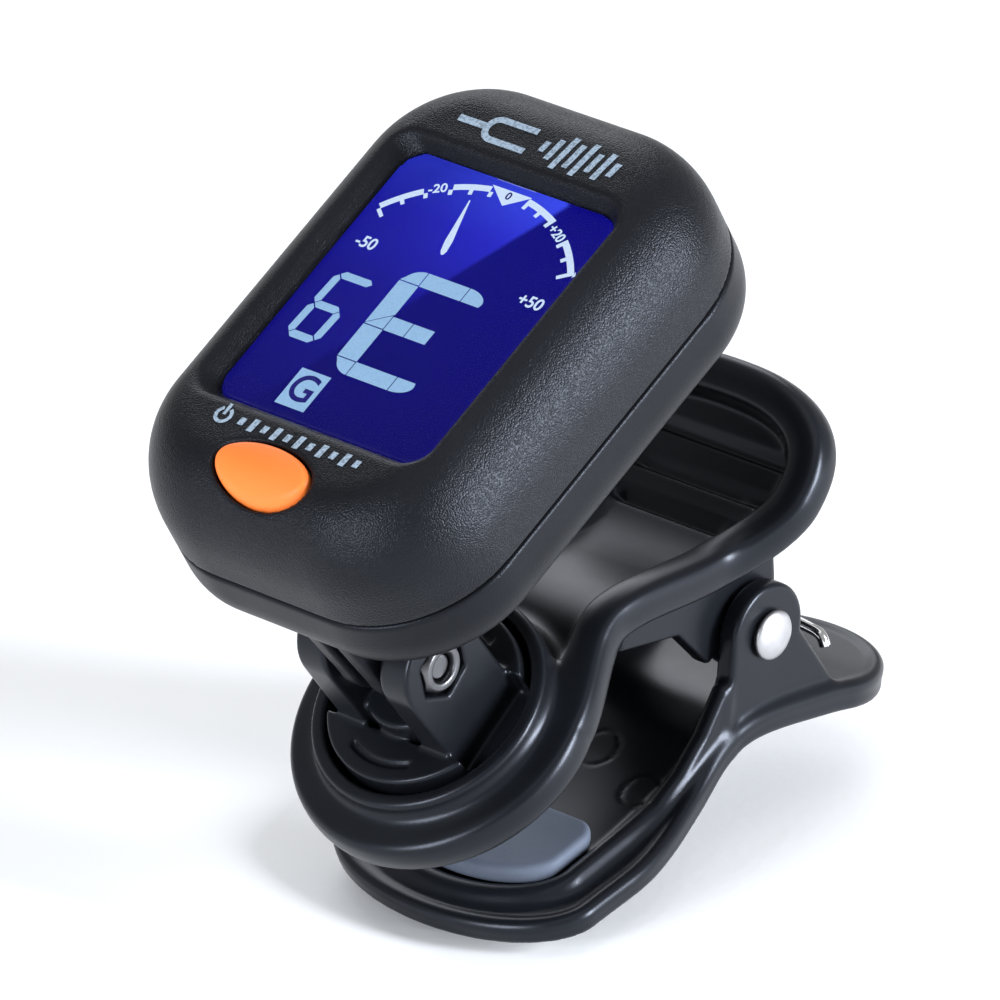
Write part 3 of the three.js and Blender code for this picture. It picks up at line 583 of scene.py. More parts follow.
def screw_columns(x, y):
    """Distance from the nearest case screw's axis."""
    return np.minimum(np.hypot(np.abs(x) - CASE_SCREW.x, y - CASE_SCREW.low),
                      np.hypot(np.abs(x) - CASE_SCREW.x, y - CASE_SCREW.high))


def front_cover():
    """The upper shell: pillowed edges, the sloping window recess and the button's hole."""
    axes, inward = head_grid(HEAD.split, HEAD.face + 0.3)
    x, y, z = axes
    seam = HEAD.split + SEAM / 2
    wall = HEAD.wall
    shoulder = (HEAD.shoulder_in, HEAD.shoulder_down)
    outer = arc_points((shoulder[0], HEAD.face - shoulder[1]), shoulder, 180, 90, 14)
    hollow = (4.2, 7)
    inner = arc_points((wall + hollow[0], HEAD.face - wall - hollow[1]), hollow, 90, 180, 14)
    profile = [(0.12, seam), (0, seam + 0.12)] + outer + [(40, HEAD.face)]
    profile += [(40, HEAD.face - wall)] + inner + [(wall, seam)]
    body = read_profile(profile, inward, z)
    rise = np.clip((z - SCREEN.glass_top) / (HEAD.face - SCREEN.glass_top), 0, 1.3)
    across, up, half_width, half_height, corner = [
        low + rise * (high - low) for low, high in zip(SCREEN.foot, SCREEN.mouth)]
    window = tablet_distance(x - across, y - up, half_width, half_height, corner)
    body = merge(body, meet(window - 1, between(z, SCREEN.glass_top + 0.08, HEAD.face - 1)))
    body = carve(body, window, 0.4)
    button = oval_distance(x, y - BUTTON.y, BUTTON.half_width + 0.2, BUTTON.half_height + 0.2)
    body = carve(body, button, 0.3)
    return piece_from_field("front_shell", body, axes, HEAD_PLACE, SHELL)


def back_cover():
    """The lower shell: a seam edge, the round battery doorway, screw wells and the tilt lug."""
    axes, inward = head_grid(-LUG.round, HEAD.split)
    x, y, z = axes
    seam = HEAD.split - SEAM / 2
    wall = HEAD.wall
    back = HEAD.back
    reach = (HEAD.back_in, HEAD.back_up)
    outer = arc_points((reach[0], back + reach[1]), reach, 180, 270, 14)
    inner = arc_points((wall + 1.8, back + 3.3), 1.8, 270, 180, 14)
    profile = [(0.12, seam), (0, seam - 0.12)] + outer + [(40, back)]
    profile += [(40, back + 1.5)] + inner + [(wall, seam)]
    body = read_profile(profile, inward, z)
    from_cell = np.hypot(x, y - CELL.y)
    tube = column(from_cell, z, DOOR.radius + 1.2, back + 0.5, seam - 0.5)
    tube = meet(tube, CELL.radius + 0.5 - from_cell)
    pillars = column(screw_columns(x, y), z, 2.1, back + 0.5, 18.4)
    body = merge(merge(body, tube, 0.3), pillars, 0.3)
    arc = arc_points((0, 0), LUG.round, 180, 360)
    side = outline_distance(arc + [(LUG.half_root, back + 1), (-LUG.half_root, back + 1)], y, z)
    lug = meet(side, between(x, -LUG.half_width, LUG.half_width), 0.5)
    slot = meet(between(x, -LUG.slot, LUG.slot), z - LUG.slot_end, 0.3)
    body = merge(body, carve(lug, slot, 0.3), 1.2)
    body = carve(body, column(from_cell, z, DOOR.radius + GAP, 0, back + DOOR.thick + GAP), 0.3)
    body = carve(body, column(from_cell, z, CELL.radius + 0.5, 0, back + 3), 0.3)
    wells = column(screw_columns(x, y), z, CASE_SCREW.head + GAP, 0, back + CASE_SCREW.sink)
    body = carve(body, wells, 0.3)
    body = carve(body, screw_columns(x, y) - CASE_SCREW.shaft - GAP)
    body = carve(body, np.hypot(y, z) - BOLT.shaft - GAP, 0.3)
    return piece_from_field("back_shell", body, axes, HEAD_PLACE, BACK)


def battery_door():
    """A round door with a coin slot and a shallow ring groove."""
    back = HEAD.back
    radius = DOOR.radius
    axes = grid((-radius, CELL.y - radius, back),
                (radius, CELL.y + radius, back + DOOR.thick), 0.2, 0.6)
    x, y, z = axes
    radial = np.hypot(x, y - CELL.y)
    body = column(radial, z, radius, back, back + DOOR.thick, 0.3)
    slot = meet(tablet_distance(x, y - CELL.y, 5, 0.9, 0.85), z - back - 0.6, 0.15)
    groove = meet(np.abs(radial - 8.6) - 0.35, z - back - 0.3, 0.1)
    body = carve(carve(body, slot, 0.25), groove, 0.2)
    return piece_from_field("battery_lid", body, axes, HEAD_PLACE, BACK)


def power_button():
    """A low oval cap that follows the fall of the face, with a soft edge."""
    reach, half = BUTTON.half_width, BUTTON.half_height
    axes = grid((-reach - 1.5, BUTTON.y - half - 0.6, BUTTON.low - 0.6),
                (reach + 1.5, BUTTON.y + half + 0.6, HEAD.face + 1.4), 0.15)
    x, y, z = axes
    share = np.clip(np.hypot(x / reach, (y - BUTTON.y) / half), 0, 1)
    crown = BUTTON.crown * np.sqrt(1 - 0.95 * share ** 2.4)
    dome = z - (face_height(x, y) + BUTTON.proud + crown)
    side = oval_distance(x, y - BUTTON.y, reach, half)
    body = meet(side, np.maximum(dome * 0.85, 23.4 - z), 0.5)
    stem = meet(oval_distance(x, y - BUTTON.y, reach - 1.6, half - 1.6), between(z, BUTTON.low, 24))
    return piece_from_field("power_cap", merge(body, stem, 0.2), axes, HEAD_PLACE, ORANGE)


# ---------------------------------------------------------------- upper arm
def in_turret_frame(y, z):
    """Side-view places turned into the turret's frame: up the slope and out along its axis."""
    along, over = math.cos(TURRET_LEAN), math.sin(TURRET_LEAN)
    dy, dz = y - TURRET_Y, z - TURRET_Z
    return dy * along + dz * over, dz * along - dy * over


def from_turret_frame(slope, out):
    along, over = math.cos(TURRET_LEAN), math.sin(TURRET_LEAN)
    return TURRET_Y + slope * along - out * over, TURRET_Z + slope * over + out * along


def bezier(a, b, c, d, count=30):
    """Points on the cubic curve from a to d that b and c pull on."""
    share = np.linspace(0, 1, count)[:, None]
    a, b, c, d = (np.array(point, float) for point in (a, b, c, d))
    rest = 1 - share
    return a * rest ** 3 + 3 * b * share * rest ** 2 + 3 * c * share ** 2 * rest + d * share ** 3


def travelled(points):
    """How far along the curve each of its points is."""
    spans = np.hypot(*np.diff(points, axis=0).T)
    return np.concatenate([[0], np.cumsum(spans)])


def lengthened(points, extra=6.0):
    """The curve with a straight run added at each end, and the travel at its old start."""
    points = np.asarray(points, float)
    first = points[0] - points[1]
    last = points[-1] - points[-2]
    start = points[0] + first / np.hypot(*first) * extra
    end = points[-1] + last / np.hypot(*last) * extra
    return np.vstack([start, points, end]), extra


def smooth_step(value, low, high):
    share = np.clip((value - low) / (high - low), 0, 1)
    return share * share * (3 - 2 * share)


def upper_curve():
    """The thumb arm's middle line: straight under the turret, over the hinge, up the handle."""
    tip = from_turret_frame(-UPPER.lobe, UPPER.drop)
    bend = from_turret_frame(12.2, UPPER.drop)
    rise = bezier(bend, (bend[0] + 3.2, bend[1] + 2.4), (12, 28.1), (18, 28.1))
    handle = bezier((18, 28.1), (24, 28.1), (27.4, 30), (34.6, 40.9))
    return np.vstack([np.array(tip)[None], rise, handle[1:]])


def upper_width(travel, length):
    lobe = np.sqrt(np.maximum(UPPER.lobe ** 2 - (UPPER.lobe - travel) ** 2, 0))
    waist = 14.1 + (10.3 - 14.1) * smooth_step(travel, 17, 30)
    handle = waist + (13.4 - waist) * smooth_step(travel, length - 20, length - 10)
    from_end = np.clip((length - travel) / 9.5, 0, 1)
    return np.where(travel < 18, lobe, handle * (1 - (1 - from_end) ** 2.5) ** 0.4)


def plan_table(axis_x, first, last, outline, step=0.2):
    """Distances to a plan outline at every x of the grid and every place along the curve."""
    places = np.arange(first, last, step)
    table = outline_distance(outline, axis_x.ravel()[:, None], places[None, :])
    return table.astype(np.float32), step


def swept_plan(points, marks, width, axes):
    """For an arm whose middle line runs through points and whose half width is given at marks:
    the distance to its plan, the height above its middle line and the travel along it."""
    x, y, z = axes
    curve, extra = lengthened(points)
    travel, height = curve_coordinates(curve, y, z)
    travel = travel - extra
    outline = list(zip(width, marks)) + list(zip(-width[::-1], marks[::-1]))
    table, step = plan_table(x, -extra, travelled(points)[-1] + extra, outline)
    plan = spread(table, -extra, step, travel[0])
    return plan, height[0][None].astype(np.float32), travel[0][None].astype(np.float32)


def cheeks(x, side, sizes, edge):
    """A pair of side plates with the given outline, one each side of the middle."""
    middle = (sizes.inner + sizes.outer) / 2
    half = (sizes.outer - sizes.inner) / 2
    return meet(side, np.abs(np.abs(x) - middle) - half, edge)


def grip_grooves(body, plan, h, s, length):
    """Cuts the slanting grooves across the thumb handle, counted from its end."""
    for number in range(GRIP.count):
        start = length - GRIP.from_end + GRIP.step * number
        end = start + GRIP.long
        wedge = [(start, 1), (start, -GRIP.deep), (start + 0.5, -GRIP.deep), (end, 0.02), (end, 1)]
        tooth = outline_distance(wedge, s, h).astype(np.float32)
        body = carve(body, meet(plan + UPPER.rim, tooth, 0.3), 0.2)
    return body


def upper_jaw():
    """The thumb arm: a collar round the turret, a fat bead along the edge, a grooved handle."""
    axes = grid((-15.4, -19.4, 8.4), (15.4, 37.2, 44), 0.28)
    x, y, z = axes
    points = upper_curve()
    length = travelled(points)[-1]
    marks = np.concatenate([np.linspace(0, 1, 40) ** 2 * 8, np.arange(8.5, length - 9, 0.5),
                            length - np.linspace(1, 0, 40) ** 2 * 9])
    plan, h, s = swept_plan(points, marks, upper_width(marks, length), axes)
    inset = plan + UPPER.rim - 0.9
    plate = meet(plan, np.abs(h) - UPPER.half, 0.7)
    floor = UPPER.floor + 0.4 * smooth_step(s, length - 24, length - 16)
    body = carve(plate, meet(inset, floor - h, 1.5), 0.6)
    bead = np.hypot(plan + UPPER.bead, h) - UPPER.bead
    body = merge(body, bead, 0.9)
    body = grip_grooves(body, plan, h, s, length)
    slope, out = in_turret_frame(y, z)
    radial = np.hypot(x, slope)
    body = merge(body, column(radial, out, COLLAR.outer, UPPER.drop - 1, 0, 0.5), 1.8)
    body = merge(body, column(radial, out, 3.6, SWIVEL.end - 0.6, UPPER.drop - 1, 0.3), 0.5)
    arc = arc_points((PIN_Y, PIN_Z), UPPER_WEB.round, 200, 380, 30)
    side = [(8.4, 23.6), (16.6, 22.4), (20.6, 18.2)] + arc
    side += [(29.4, 31.8), (26.5, 30), (23, 28.3), (18, 27.3), (10, 26.9)]
    body = merge(body, cheeks(x, outline_distance(side, y, z), UPPER_WEB, 0.35), 0.8)
    body = carve(body, column(radial, out, COLLAR.inner, COLLAR.socket_floor, 20, 0.25), 0.3)
    body = carve(body, column(radial, out, SWIVEL.shaft + GAP, SWIVEL.end - GAP, 0))
    body = carve(body, np.hypot(y - PIN_Y, z - PIN_Z) - PIN.bore, 0.2)
    return piece_from_field("thumb_arm", body, axes, PART_PLACE, CLIP)


def upper_pad():
    """A soft disc under the upper jaw with a softly rounded rim and three gripping rings."""
    low = UPPER.drop - UPPER.half - GAP - UPPER_PAD.thick
    radius = UPPER_PAD.radius
    axes = grid((-radius, -radius, low), (radius, radius, low + UPPER_PAD.thick), 0.22, 0.7)
    x, y, z = axes
    radial = np.hypot(x, y)
    body = column(radial, z, radius, low, low + UPPER_PAD.thick, 0.7)
    for ring in (5.2, 6.6, 8):
        body = carve(body, np.hypot(radial - ring, z - low) - 0.3, 0.15)
    body = carve(body, radial - 3.6 - GAP, 0.4)
    return piece_from_field("upper_grip_pad", body, axes, TURRET_PLACE, PAD)


# ---------------------------------------------------------------- lower arm
# The flange's middle line in the side view, from the front lip to the end of the handle.
FLANGE_POINTS = [(-9.8, 1.8), (-3, 3.6), (6.8, 5.6), (14.3, 8), (20, 10.9), (25, 12),
                 (34, 11.2), (41, 9.9), (48.4, 9)]


def through_points(points, count=14):
    """A Catmull-Rom curve through the points."""
    points = [np.array(point, float) for point in points]
    padded = [points[0]] + points + [points[-1]]
    found = []
    for before, start, end, after in zip(padded, padded[1:], padded[2:], padded[3:]):
        for share in np.linspace(0, 1, count, endpoint=False):
            found.append(0.5 * (2 * start + (end - before) * share
                                + (2 * before - 5 * start + 4 * end - after) * share ** 2
                                + (3 * start - before - 3 * end + after) * share ** 3))
    found.append(points[-1])
    return np.array(found)


def flange_width(y):
    centre = LOWER.tip + LOWER.lobe_long
    waist = LOWER.lobe_wide + (LOWER.waist - LOWER.lobe_wide) * smooth_step(y, 3, 22)
    front = np.sqrt(np.clip(1 - (np.maximum(centre - y, 0) / LOWER.lobe_long) ** 2, 0, 1))
    from_end = np.clip((LOWER.end - y) / LOWER.waist, 0, 1)
    return waist * front * np.sqrt(1 - (1 - from_end) ** 2)


def flange_coordinates(axes):
    """Distance to the flange's plan and height above its middle."""
    points = through_points(FLANGE_POINTS)
    lobe = LOWER.tip + LOWER.lobe_long * (1 - np.cos(np.linspace(0, math.pi / 2, 30)))
    handle = LOWER.end - LOWER.waist * (1 - np.cos(np.linspace(math.pi / 2, 0, 30)))
    marks = np.concatenate([lobe, np.arange(lobe[-1] + 0.8, handle[0] - 0.4, 0.8), handle])
    places = np.interp(marks, points[:, 0], travelled(points))
    plan, height, _ = swept_plan(points, places, flange_width(marks), axes)
    return plan, height


def tray_outline(inset, back):
    """The plan of the tray's wall: an elliptic front and sides that close in towards the ears."""
    reaches = (WALL.wide - inset, WALL.long - inset)
    front = arc_points((0, WALL.front + WALL.long), reaches, 180, 360, 40)
    reach = LOWER_EAR.outer - inset
    return front + [(reach, WALL.back), (reach, back), (-reach, back), (-reach, WALL.back)]


# The tray wall's outline in the side view.
WALL_BAND = [(-9, 0.8), (-9, 4.1), (-0.4, 6.4), (7.5, 7.9), (10.7, 8.6), (13.9, 10.3), (17, 13),
             (20, 16.8), (21, 16.8), (21, 10), (13, 6.4), (0, 2.6)]


def lower_jaw():
    """The finger arm: a thin flange, the tray's rounded wall, the ears and the finger spoon."""
    axes = grid((-15.9, -10.9, -0.9), (15.9, 49.3, 26), 0.28)
    x, y, z = axes
    plan, h = flange_coordinates(axes)
    heel = LOWER.heel * (0.4 + 0.6 * smooth_step(y, 18, 34)).astype(np.float32)
    under = LOWER.half + heel
    body = meet(plan, between(h, -under, LOWER.half), 0.55)
    lip = np.hypot(plan + 0.75, h - 0.35) - 0.75
    body = merge(body, lip, 0.35)
    middle, half_long = (SOLE.front + SOLE.back) / 2, (SOLE.back - SOLE.front) / 2
    sole = tablet_distance(x, y - middle, SOLE.half_width, half_long, SOLE.corner)
    belly_side = outline_distance([(-9.5, 0), (9, 0), (9, 6.2), (-3, 3.6), (-9.5, 2)], y, z)
    body = merge(body, meet(sole, belly_side, 0.4), 0.6)
    tray = outline_distance(tray_outline(0, 40), x[:, :, 0], y[:, :, 0])
    tray = tray[..., None].astype(np.float32)
    band = outline_distance(WALL_BAND, y, z).astype(np.float32)
    wall = meet(meet(tray, -(tray + WALL.thick), 0.2), band, 0.75)
    body = merge(body, wall, 1.1)
    arc = arc_points((PIN_Y, PIN_Z), LOWER_EAR.round, -14, 176, 36)
    ear = outline_distance([(19, 10.4), (36, 11), (34.6, 13.4)] + arc + [(20.9, 16.4)], y, z)
    body = merge(body, cheeks(x, ear, LOWER_EAR, 0.45), 0.8)
    around_pin = np.hypot(y - PIN_Y, z - PIN_Z)
    body = carve(body, around_pin - PIN.bore, 0.2)
    for spot_x, spot_y in ((0, 4), (7.4, 12.5), (-7.4, 12.5), (0, 15), (0, 38)):
        ejector = np.abs(np.hypot(x - spot_x, y - spot_y) - 1.9) - 0.12
        body = carve(body, meet(ejector, np.abs(h - LOWER.half) - 0.12), 0.05)
    return piece_from_field("finger_arm", body, axes, PART_PLACE, CLIP)


def lower_pad():
    """The lower grip pad, lying on the tray's floor inside its wall."""
    axes = grid((-10.4, -6.6, 1.6), (10.4, 7.4, 9.4), 0.2)
    x, y, _ = axes
    _, h = flange_coordinates(axes)
    tray = outline_distance(tray_outline(LOWER_PAD.inset, 40), x[:, :, 0], y[:, :, 0])[..., None]
    plan = meet(tray, y - LOWER_PAD.back, 2.2)
    low = LOWER.half + GAP
    body = meet(plan, between(h, low, low + LOWER_PAD.thick), 0.6)
    return piece_from_field("lower_grip_pad", body, axes, PART_PLACE, PAD)


# ---------------------------------------------------------------- turret and its fasteners
def hex_distance(a, b, half_flats, turn=math.radians(8)):
    """Distance to a hexagon given by half its width across flats."""
    angles = [turn + math.radians(60 * side + 30) for side in range(6)]
    sides = [np.cos(angle) * a + np.sin(angle) * b for angle in angles]
    return np.maximum.reduce(sides) - half_flats


def turret():
    """The turning mount: raised crescents, a deep pocket, the screw boss and the two tilt ears."""
    radius = TURRET.radius
    axes = grid((-radius, -radius, TURRET.foot), (radius, radius, 13.2), 0.2, 0.6)
    x, y, z = axes
    radial = np.hypot(x, y)
    foot = TURRET.foot
    body = column(radial, z, radius, foot, TURRET.floor, 0.2)
    crescent = column(radial, z, radius, foot, TURRET.top, 0.35)
    crescent = meet(crescent, EAR.half_depth - np.abs(y), 0.3)
    arc = meet(np.abs(radial - 7.6) - 0.3, np.abs(z - TURRET.top) - 0.28)
    arc = meet(arc, np.abs(x) - 3.4)
    body = merge(body, carve(crescent, arc, 0.12), 0.5)
    body = merge(body, column(radial, z, BOSS.radius, foot, BOSS.top, 0.4), 0.4)
    from_bolt = np.hypot(y, z - EAR.bolt_height)
    bridge = meet(np.abs(y) - EAR.half_depth, between(z, foot, EAR.bolt_height))
    side = np.minimum(from_bolt - EAR.half_depth, bridge)
    ears = cheeks(x, side, EAR, 0.35)
    body = merge(body, ears, 0.6)
    body = carve(body, from_bolt - BOLT.shaft - GAP, 0.2)
    nut = hex_distance(y, z - EAR.bolt_height, BOLT.nut_flat / 2 + GAP)
    nut = meet(nut, EAR.outer - BOLT.recess - x)
    head = meet(from_bolt - BOLT.head - GAP, x + EAR.outer - BOLT.recess)
    body = carve(carve(body, nut, 0.25), head, 0.25)
    body = carve(body, radial - SWIVEL.shaft - GAP, 0.2)
    return piece_from_field("turning_mount", body, axes, TURRET_PLACE, CLIP)


def tilt_nut():
    """A hexagon nut with turned-off corners."""
    low = EAR.outer - BOLT.recess + GAP
    high = low + BOLT.nut_thick - GAP
    height = EAR.bolt_height
    axes = grid((low - 0.4, -3.2, height - 3.2), (high + 0.4, 3.2, height + 3.2), 0.1)
    x, y, z = axes
    from_bolt = np.hypot(y, z - height)
    body = meet(hex_distance(y, z - height, BOLT.nut_flat / 2), between(x, low, high), 0.08)
    body = meet(body, (from_bolt - 2.25) * 0.8 + (np.abs(x - (low + high) / 2) - 0.45) * 0.6)
    body = carve(body, from_bolt - BOLT.shaft - 0.12, 0.25)
    return piece_from_field("tilt_nut_bright", body, axes, TURRET_PLACE, DARK_STEEL)


def thread(radial, turn, level, radius, pitch, depth=0.14):
    """A screw thread: a ridge that climbs one pitch in each turn."""
    phase = (turn / (2 * math.pi) + level / pitch) % 1
    return radial - radius + depth * np.abs(2 * phase - 1)


def tilt_bolt():
    """The tilt bolt: a slotted round head, its shaft and the threaded end in the nut."""
    height = EAR.bolt_height
    head_face = BOLT.recess - EAR.outer - GAP
    end = EAR.outer - 0.5
    axes = grid((head_face - 1.6, -2.7, height - 2.7), (end + 0.4, 2.7, height + 2.7), 0.1)
    x, y, z = axes
    radial = np.hypot(y, z - height)
    turn = np.arctan2(z - height, y)
    screw = meet(thread(radial, turn, x, BOLT.shaft, 0.45), between(x, head_face - 0.2, end), 0.2)
    head = column(radial, x, BOLT.head, head_face - 1.2, head_face, 0.3)
    slot = meet(np.abs(z - height) - 0.3, x - head_face + 0.8)
    cross = meet(np.abs(y) - 0.3, x - head_face + 0.8)
    body = carve(carve(merge(screw, head, 0.1), slot, 0.08), meet(cross, radial - 1.7), 0.08)
    return piece_from_field("tilt_bolt_bright", body, axes, TURRET_PLACE, DARK_STEEL)


def swivel_screw():
    """The screw that holds the turret down: a crossed pan head on a threaded shaft."""
    top, seat, end = SWIVEL.head_high, SWIVEL.head_low, SWIVEL.end
    axes = grid((-3.2, -3.2, end - 0.4), (3.2, 3.2, top + 0.4), 0.12)
    x, y, z = axes
    radial = np.hypot(x, y)
    shaft = thread(radial, np.arctan2(y, x), z, SWIVEL.shaft, 0.45)
    shaft = meet(shaft, between(z, end, seat + 0.2), 0.2)
    head = column(radial, z, SWIVEL.head, seat, top, 0.3)
    cross = np.minimum(meet(np.abs(x) - 0.3, np.abs(y) - 1.6),
                       meet(np.abs(y) - 0.3, np.abs(x) - 1.6))
    body = carve(merge(shaft, head, 0.1), meet(cross, top - 0.4 - z), 0.08)
    return piece_from_field("swivel_screw_bright", body, axes, TURRET_PLACE, STEEL)


# ---------------------------------------------------------------- turned pieces
def turned_piece(name, profile, place, material, segments=64):
    """A solid of revolution about the local Z axis, from (radius, height) pairs in millimetres."""
    mesh = bpy.data.meshes.new(name)
    build = bmesh.new()
    rings = []
    for radius, height in profile:
        if radius < 1e-6:
            rings.append([build.verts.new((0, 0, height))])
            continue
        angles = np.linspace(0, 2 * math.pi, segments, endpoint=False)
        rings.append([build.verts.new((radius * math.cos(angle), radius * math.sin(angle), height))
                      for angle in angles])
    for lower, upper in zip(rings, rings[1:]):
        for side in range(segments):
            after = (side + 1) % segments
            corners = [lower[side % len(lower)], lower[after % len(lower)],
                       upper[after % len(upper)], upper[side % len(upper)]]
            corners = list(dict.fromkeys(corners))
            if len(corners) > 2:
                build.faces.new(corners)
    bmesh.ops.recalc_face_normals(build, faces=build.faces)
    build.to_mesh(mesh)
    build.free()
    mesh.transform(place)
    mesh.shade_smooth()
    mesh.set_sharp_from_angle(angle=math.radians(38))
    return shown(name, mesh, material)


def rivet():
    """The hinge rivet, with a low dome on each end."""
    reach = LOWER_EAR.outer + GAP
    edge = reach + 0.25
    dome = arc_points((0, edge), (PIN.head, PIN.head_thick - 0.25), 0, 90, 12)
    half = [(PIN.shaft, 0), (PIN.shaft, reach), (PIN.head - 0.15, reach),
            (PIN.head, reach + 0.12)] + dome[:-1] + [(0, dome[-1][1])]
    profile = [(radius, -height) for radius, height in reversed(half)] + half[1:]
    place = Matrix.Translation((0, PIN_Y * MM, PIN_Z * MM))
    place = place @ Matrix.Rotation(math.pi / 2, 4, "Y") @ Matrix.Scale(MM, 4)
    return turned_piece("hinge_rivet", profile, place, STEEL)


def wire_piece(name, route, radius, material, sides=14):
    """A round wire along a route of points in the part's frame."""
    route = np.asarray(route, float)
    tangents = np.gradient(route, axis=0)
    tangents /= np.linalg.norm(tangents, axis=1)[:, None]
    normal = np.cross(tangents[0], (0.3, 0.1, 1))
    normal /= np.linalg.norm(normal)
    verts, faces = [], []
    for point, tangent in zip(route, tangents):
        normal = normal - tangent * (normal @ tangent)
        normal /= np.linalg.norm(normal)
        other = np.cross(tangent, normal)
        for side in range(sides):
            angle = 2 * math.pi * side / sides
            outward = math.cos(angle) * normal + math.sin(angle) * other
            verts.append((point + radius * outward) * MM)
    for start in range(0, (len(route) - 1) * sides, sides):
        for side in range(sides):
            near, after = start + side, start + (side + 1) % sides
            faces.append((near, after, after + sides, near + sides))
    last = (len(route) - 1) * sides
    faces.append(tuple(range(sides - 1, -1, -1)))
    faces.append(tuple(range(last, last + sides)))
    mesh = bpy.data.meshes.new(name)
    mesh.from_pydata([tuple(vert) for vert in verts], [], faces)
    mesh.shade_smooth()
    mesh.set_sharp_from_angle(angle=math.radians(50))
    return shown(name, mesh, material)


def spring_route():
    """One wire: a leg on the finger handle, the coil, and a leg under the thumb handle."""
    leg = [(8.9, 9.9, 5.2), (8.5, 9.8, 4.3), (7.4, 9.7, 3.9), (4.6, 9.3, 3.5),
           (SPRING.high, 7.8, 3.2)]
    points = [(x, PIN_Y + behind, PIN_Z - below) for x, behind, below in leg]
    first, last = math.radians(-82), -math.radians(360 * SPRING.turns + 160)
    for share in np.linspace(0, 1, SPRING.turns * 16 + 1):
        angle = first + (last - first) * share
        x = SPRING.high + (SPRING.low - SPRING.high) * share
        y = PIN_Y + SPRING.coil * math.cos(angle)
        points.append((x, y, PIN_Z + SPRING.coil * math.sin(angle)))
    points += [(SPRING.low, PIN_Y + 1.2, PIN_Z + 4.4), (SPRING.low, PIN_Y + 6, PIN_Z + 7.3)]
    return through_points(points, 4)


# ---------------------------------------------------------------- display and printed marks
INK_THICK = 0.05


def plate_piece(name, outlines, level, material, thick=INK_THICK):
    """Thin flat shapes in the head's frame, one for each outline, as a single piece."""
    mesh = bpy.data.meshes.new(name)
    build = bmesh.new()
    for outline in outlines:
        lower = [build.verts.new((a, b, level)) for a, b in outline]
        face = build.faces.new(lower)
        moved = bmesh.ops.extrude_face_region(build, geom=[face])["geom"]
        for vert in moved:
            if isinstance(vert, bmesh.types.BMVert):
                vert.co.z += thick
    bmesh.ops.triangulate(build, faces=[face for face in build.faces if len(face.verts) > 4])
    bmesh.ops.recalc_face_normals(build, faces=build.faces)
    build.to_mesh(mesh)
    build.free()
    mesh.transform(HEAD_PLACE)
    return shown(name, mesh, material)


def text_piece(name, level, material, words, centre, size, turn=0.0, narrow=1.0):
    """Figures on the display, centred on a place in the head's frame."""
    curve = bpy.data.curves.new(name, "FONT")
    curve.body = words
    curve.size = size
    curve.align_x = "CENTER"
    curve.align_y = "CENTER"
    curve.extrude = INK_THICK / 2
    curve.offset = size * 0.012
    holder = bpy.data.objects.new(name + "_text", curve)
    bpy.context.scene.collection.objects.link(holder)
    bpy.context.view_layer.update()
    finished = holder.evaluated_get(bpy.context.evaluated_depsgraph_get())
    mesh = bpy.data.meshes.new_from_object(finished)
    bpy.data.objects.remove(holder)
    mesh.transform(Matrix.Diagonal((narrow, 1, 1, 1)))
    place = Matrix.Translation((*centre, level + INK_THICK / 2))
    mesh.transform(place @ Matrix.Rotation(turn, 4, "Z"))
    mesh.transform(HEAD_PLACE)
    mesh.materials.clear()
    return shown(name, mesh, material)


def arc_band(centre, inner, outer, start, end, count=24):
    """A bent strip: angles are in degrees to the right of straight up."""
    turns = np.radians(np.linspace(start, end, count))
    places = [(outer, turn) for turn in turns] + [(inner, turn) for turn in turns[::-1]]
    return [(centre[0] + radius * math.sin(turn), centre[1] + radius * math.cos(turn))
            for radius, turn in places]


def block(left, right, low, high):
    """A rectangle's four corners."""
    return [(left, low), (right, low), (right, high), (left, high)]


def slanted(points, base, lean):
    """Leans an outline to the right in proportion to its height over base."""
    return [(a + (b - base) * lean, b) for a, b in points]


def tuning_scale():
    """The cents scale: four bent strips with ticks that point inwards."""
    centre, outer = (0.35, 18.6), 14.5
    outlines = []
    for start, end in ((-52.5, -35.8), (-24.4, -9.2), (8.2, 24.6), (36, 53.6)):
        outlines.append(arc_band(centre, outer - 0.62, outer, start, end))
        for tick in np.linspace(start, end, 3) - np.sign(start) * np.array([-0.8, 0, 0.8]):
            deep = 1.65 if abs(tick) > 50 else 1.15
            outlines.append(arc_band(centre, outer - deep, outer - 0.6, tick - 0.8, tick + 0.8, 3))
    return outlines


LETTER = Sizes(left=-3.45, right=5.8, bar_end=3.65, low=10.1, high=22.45, thick=1.55, stem=2.2,
               gap=0.07)


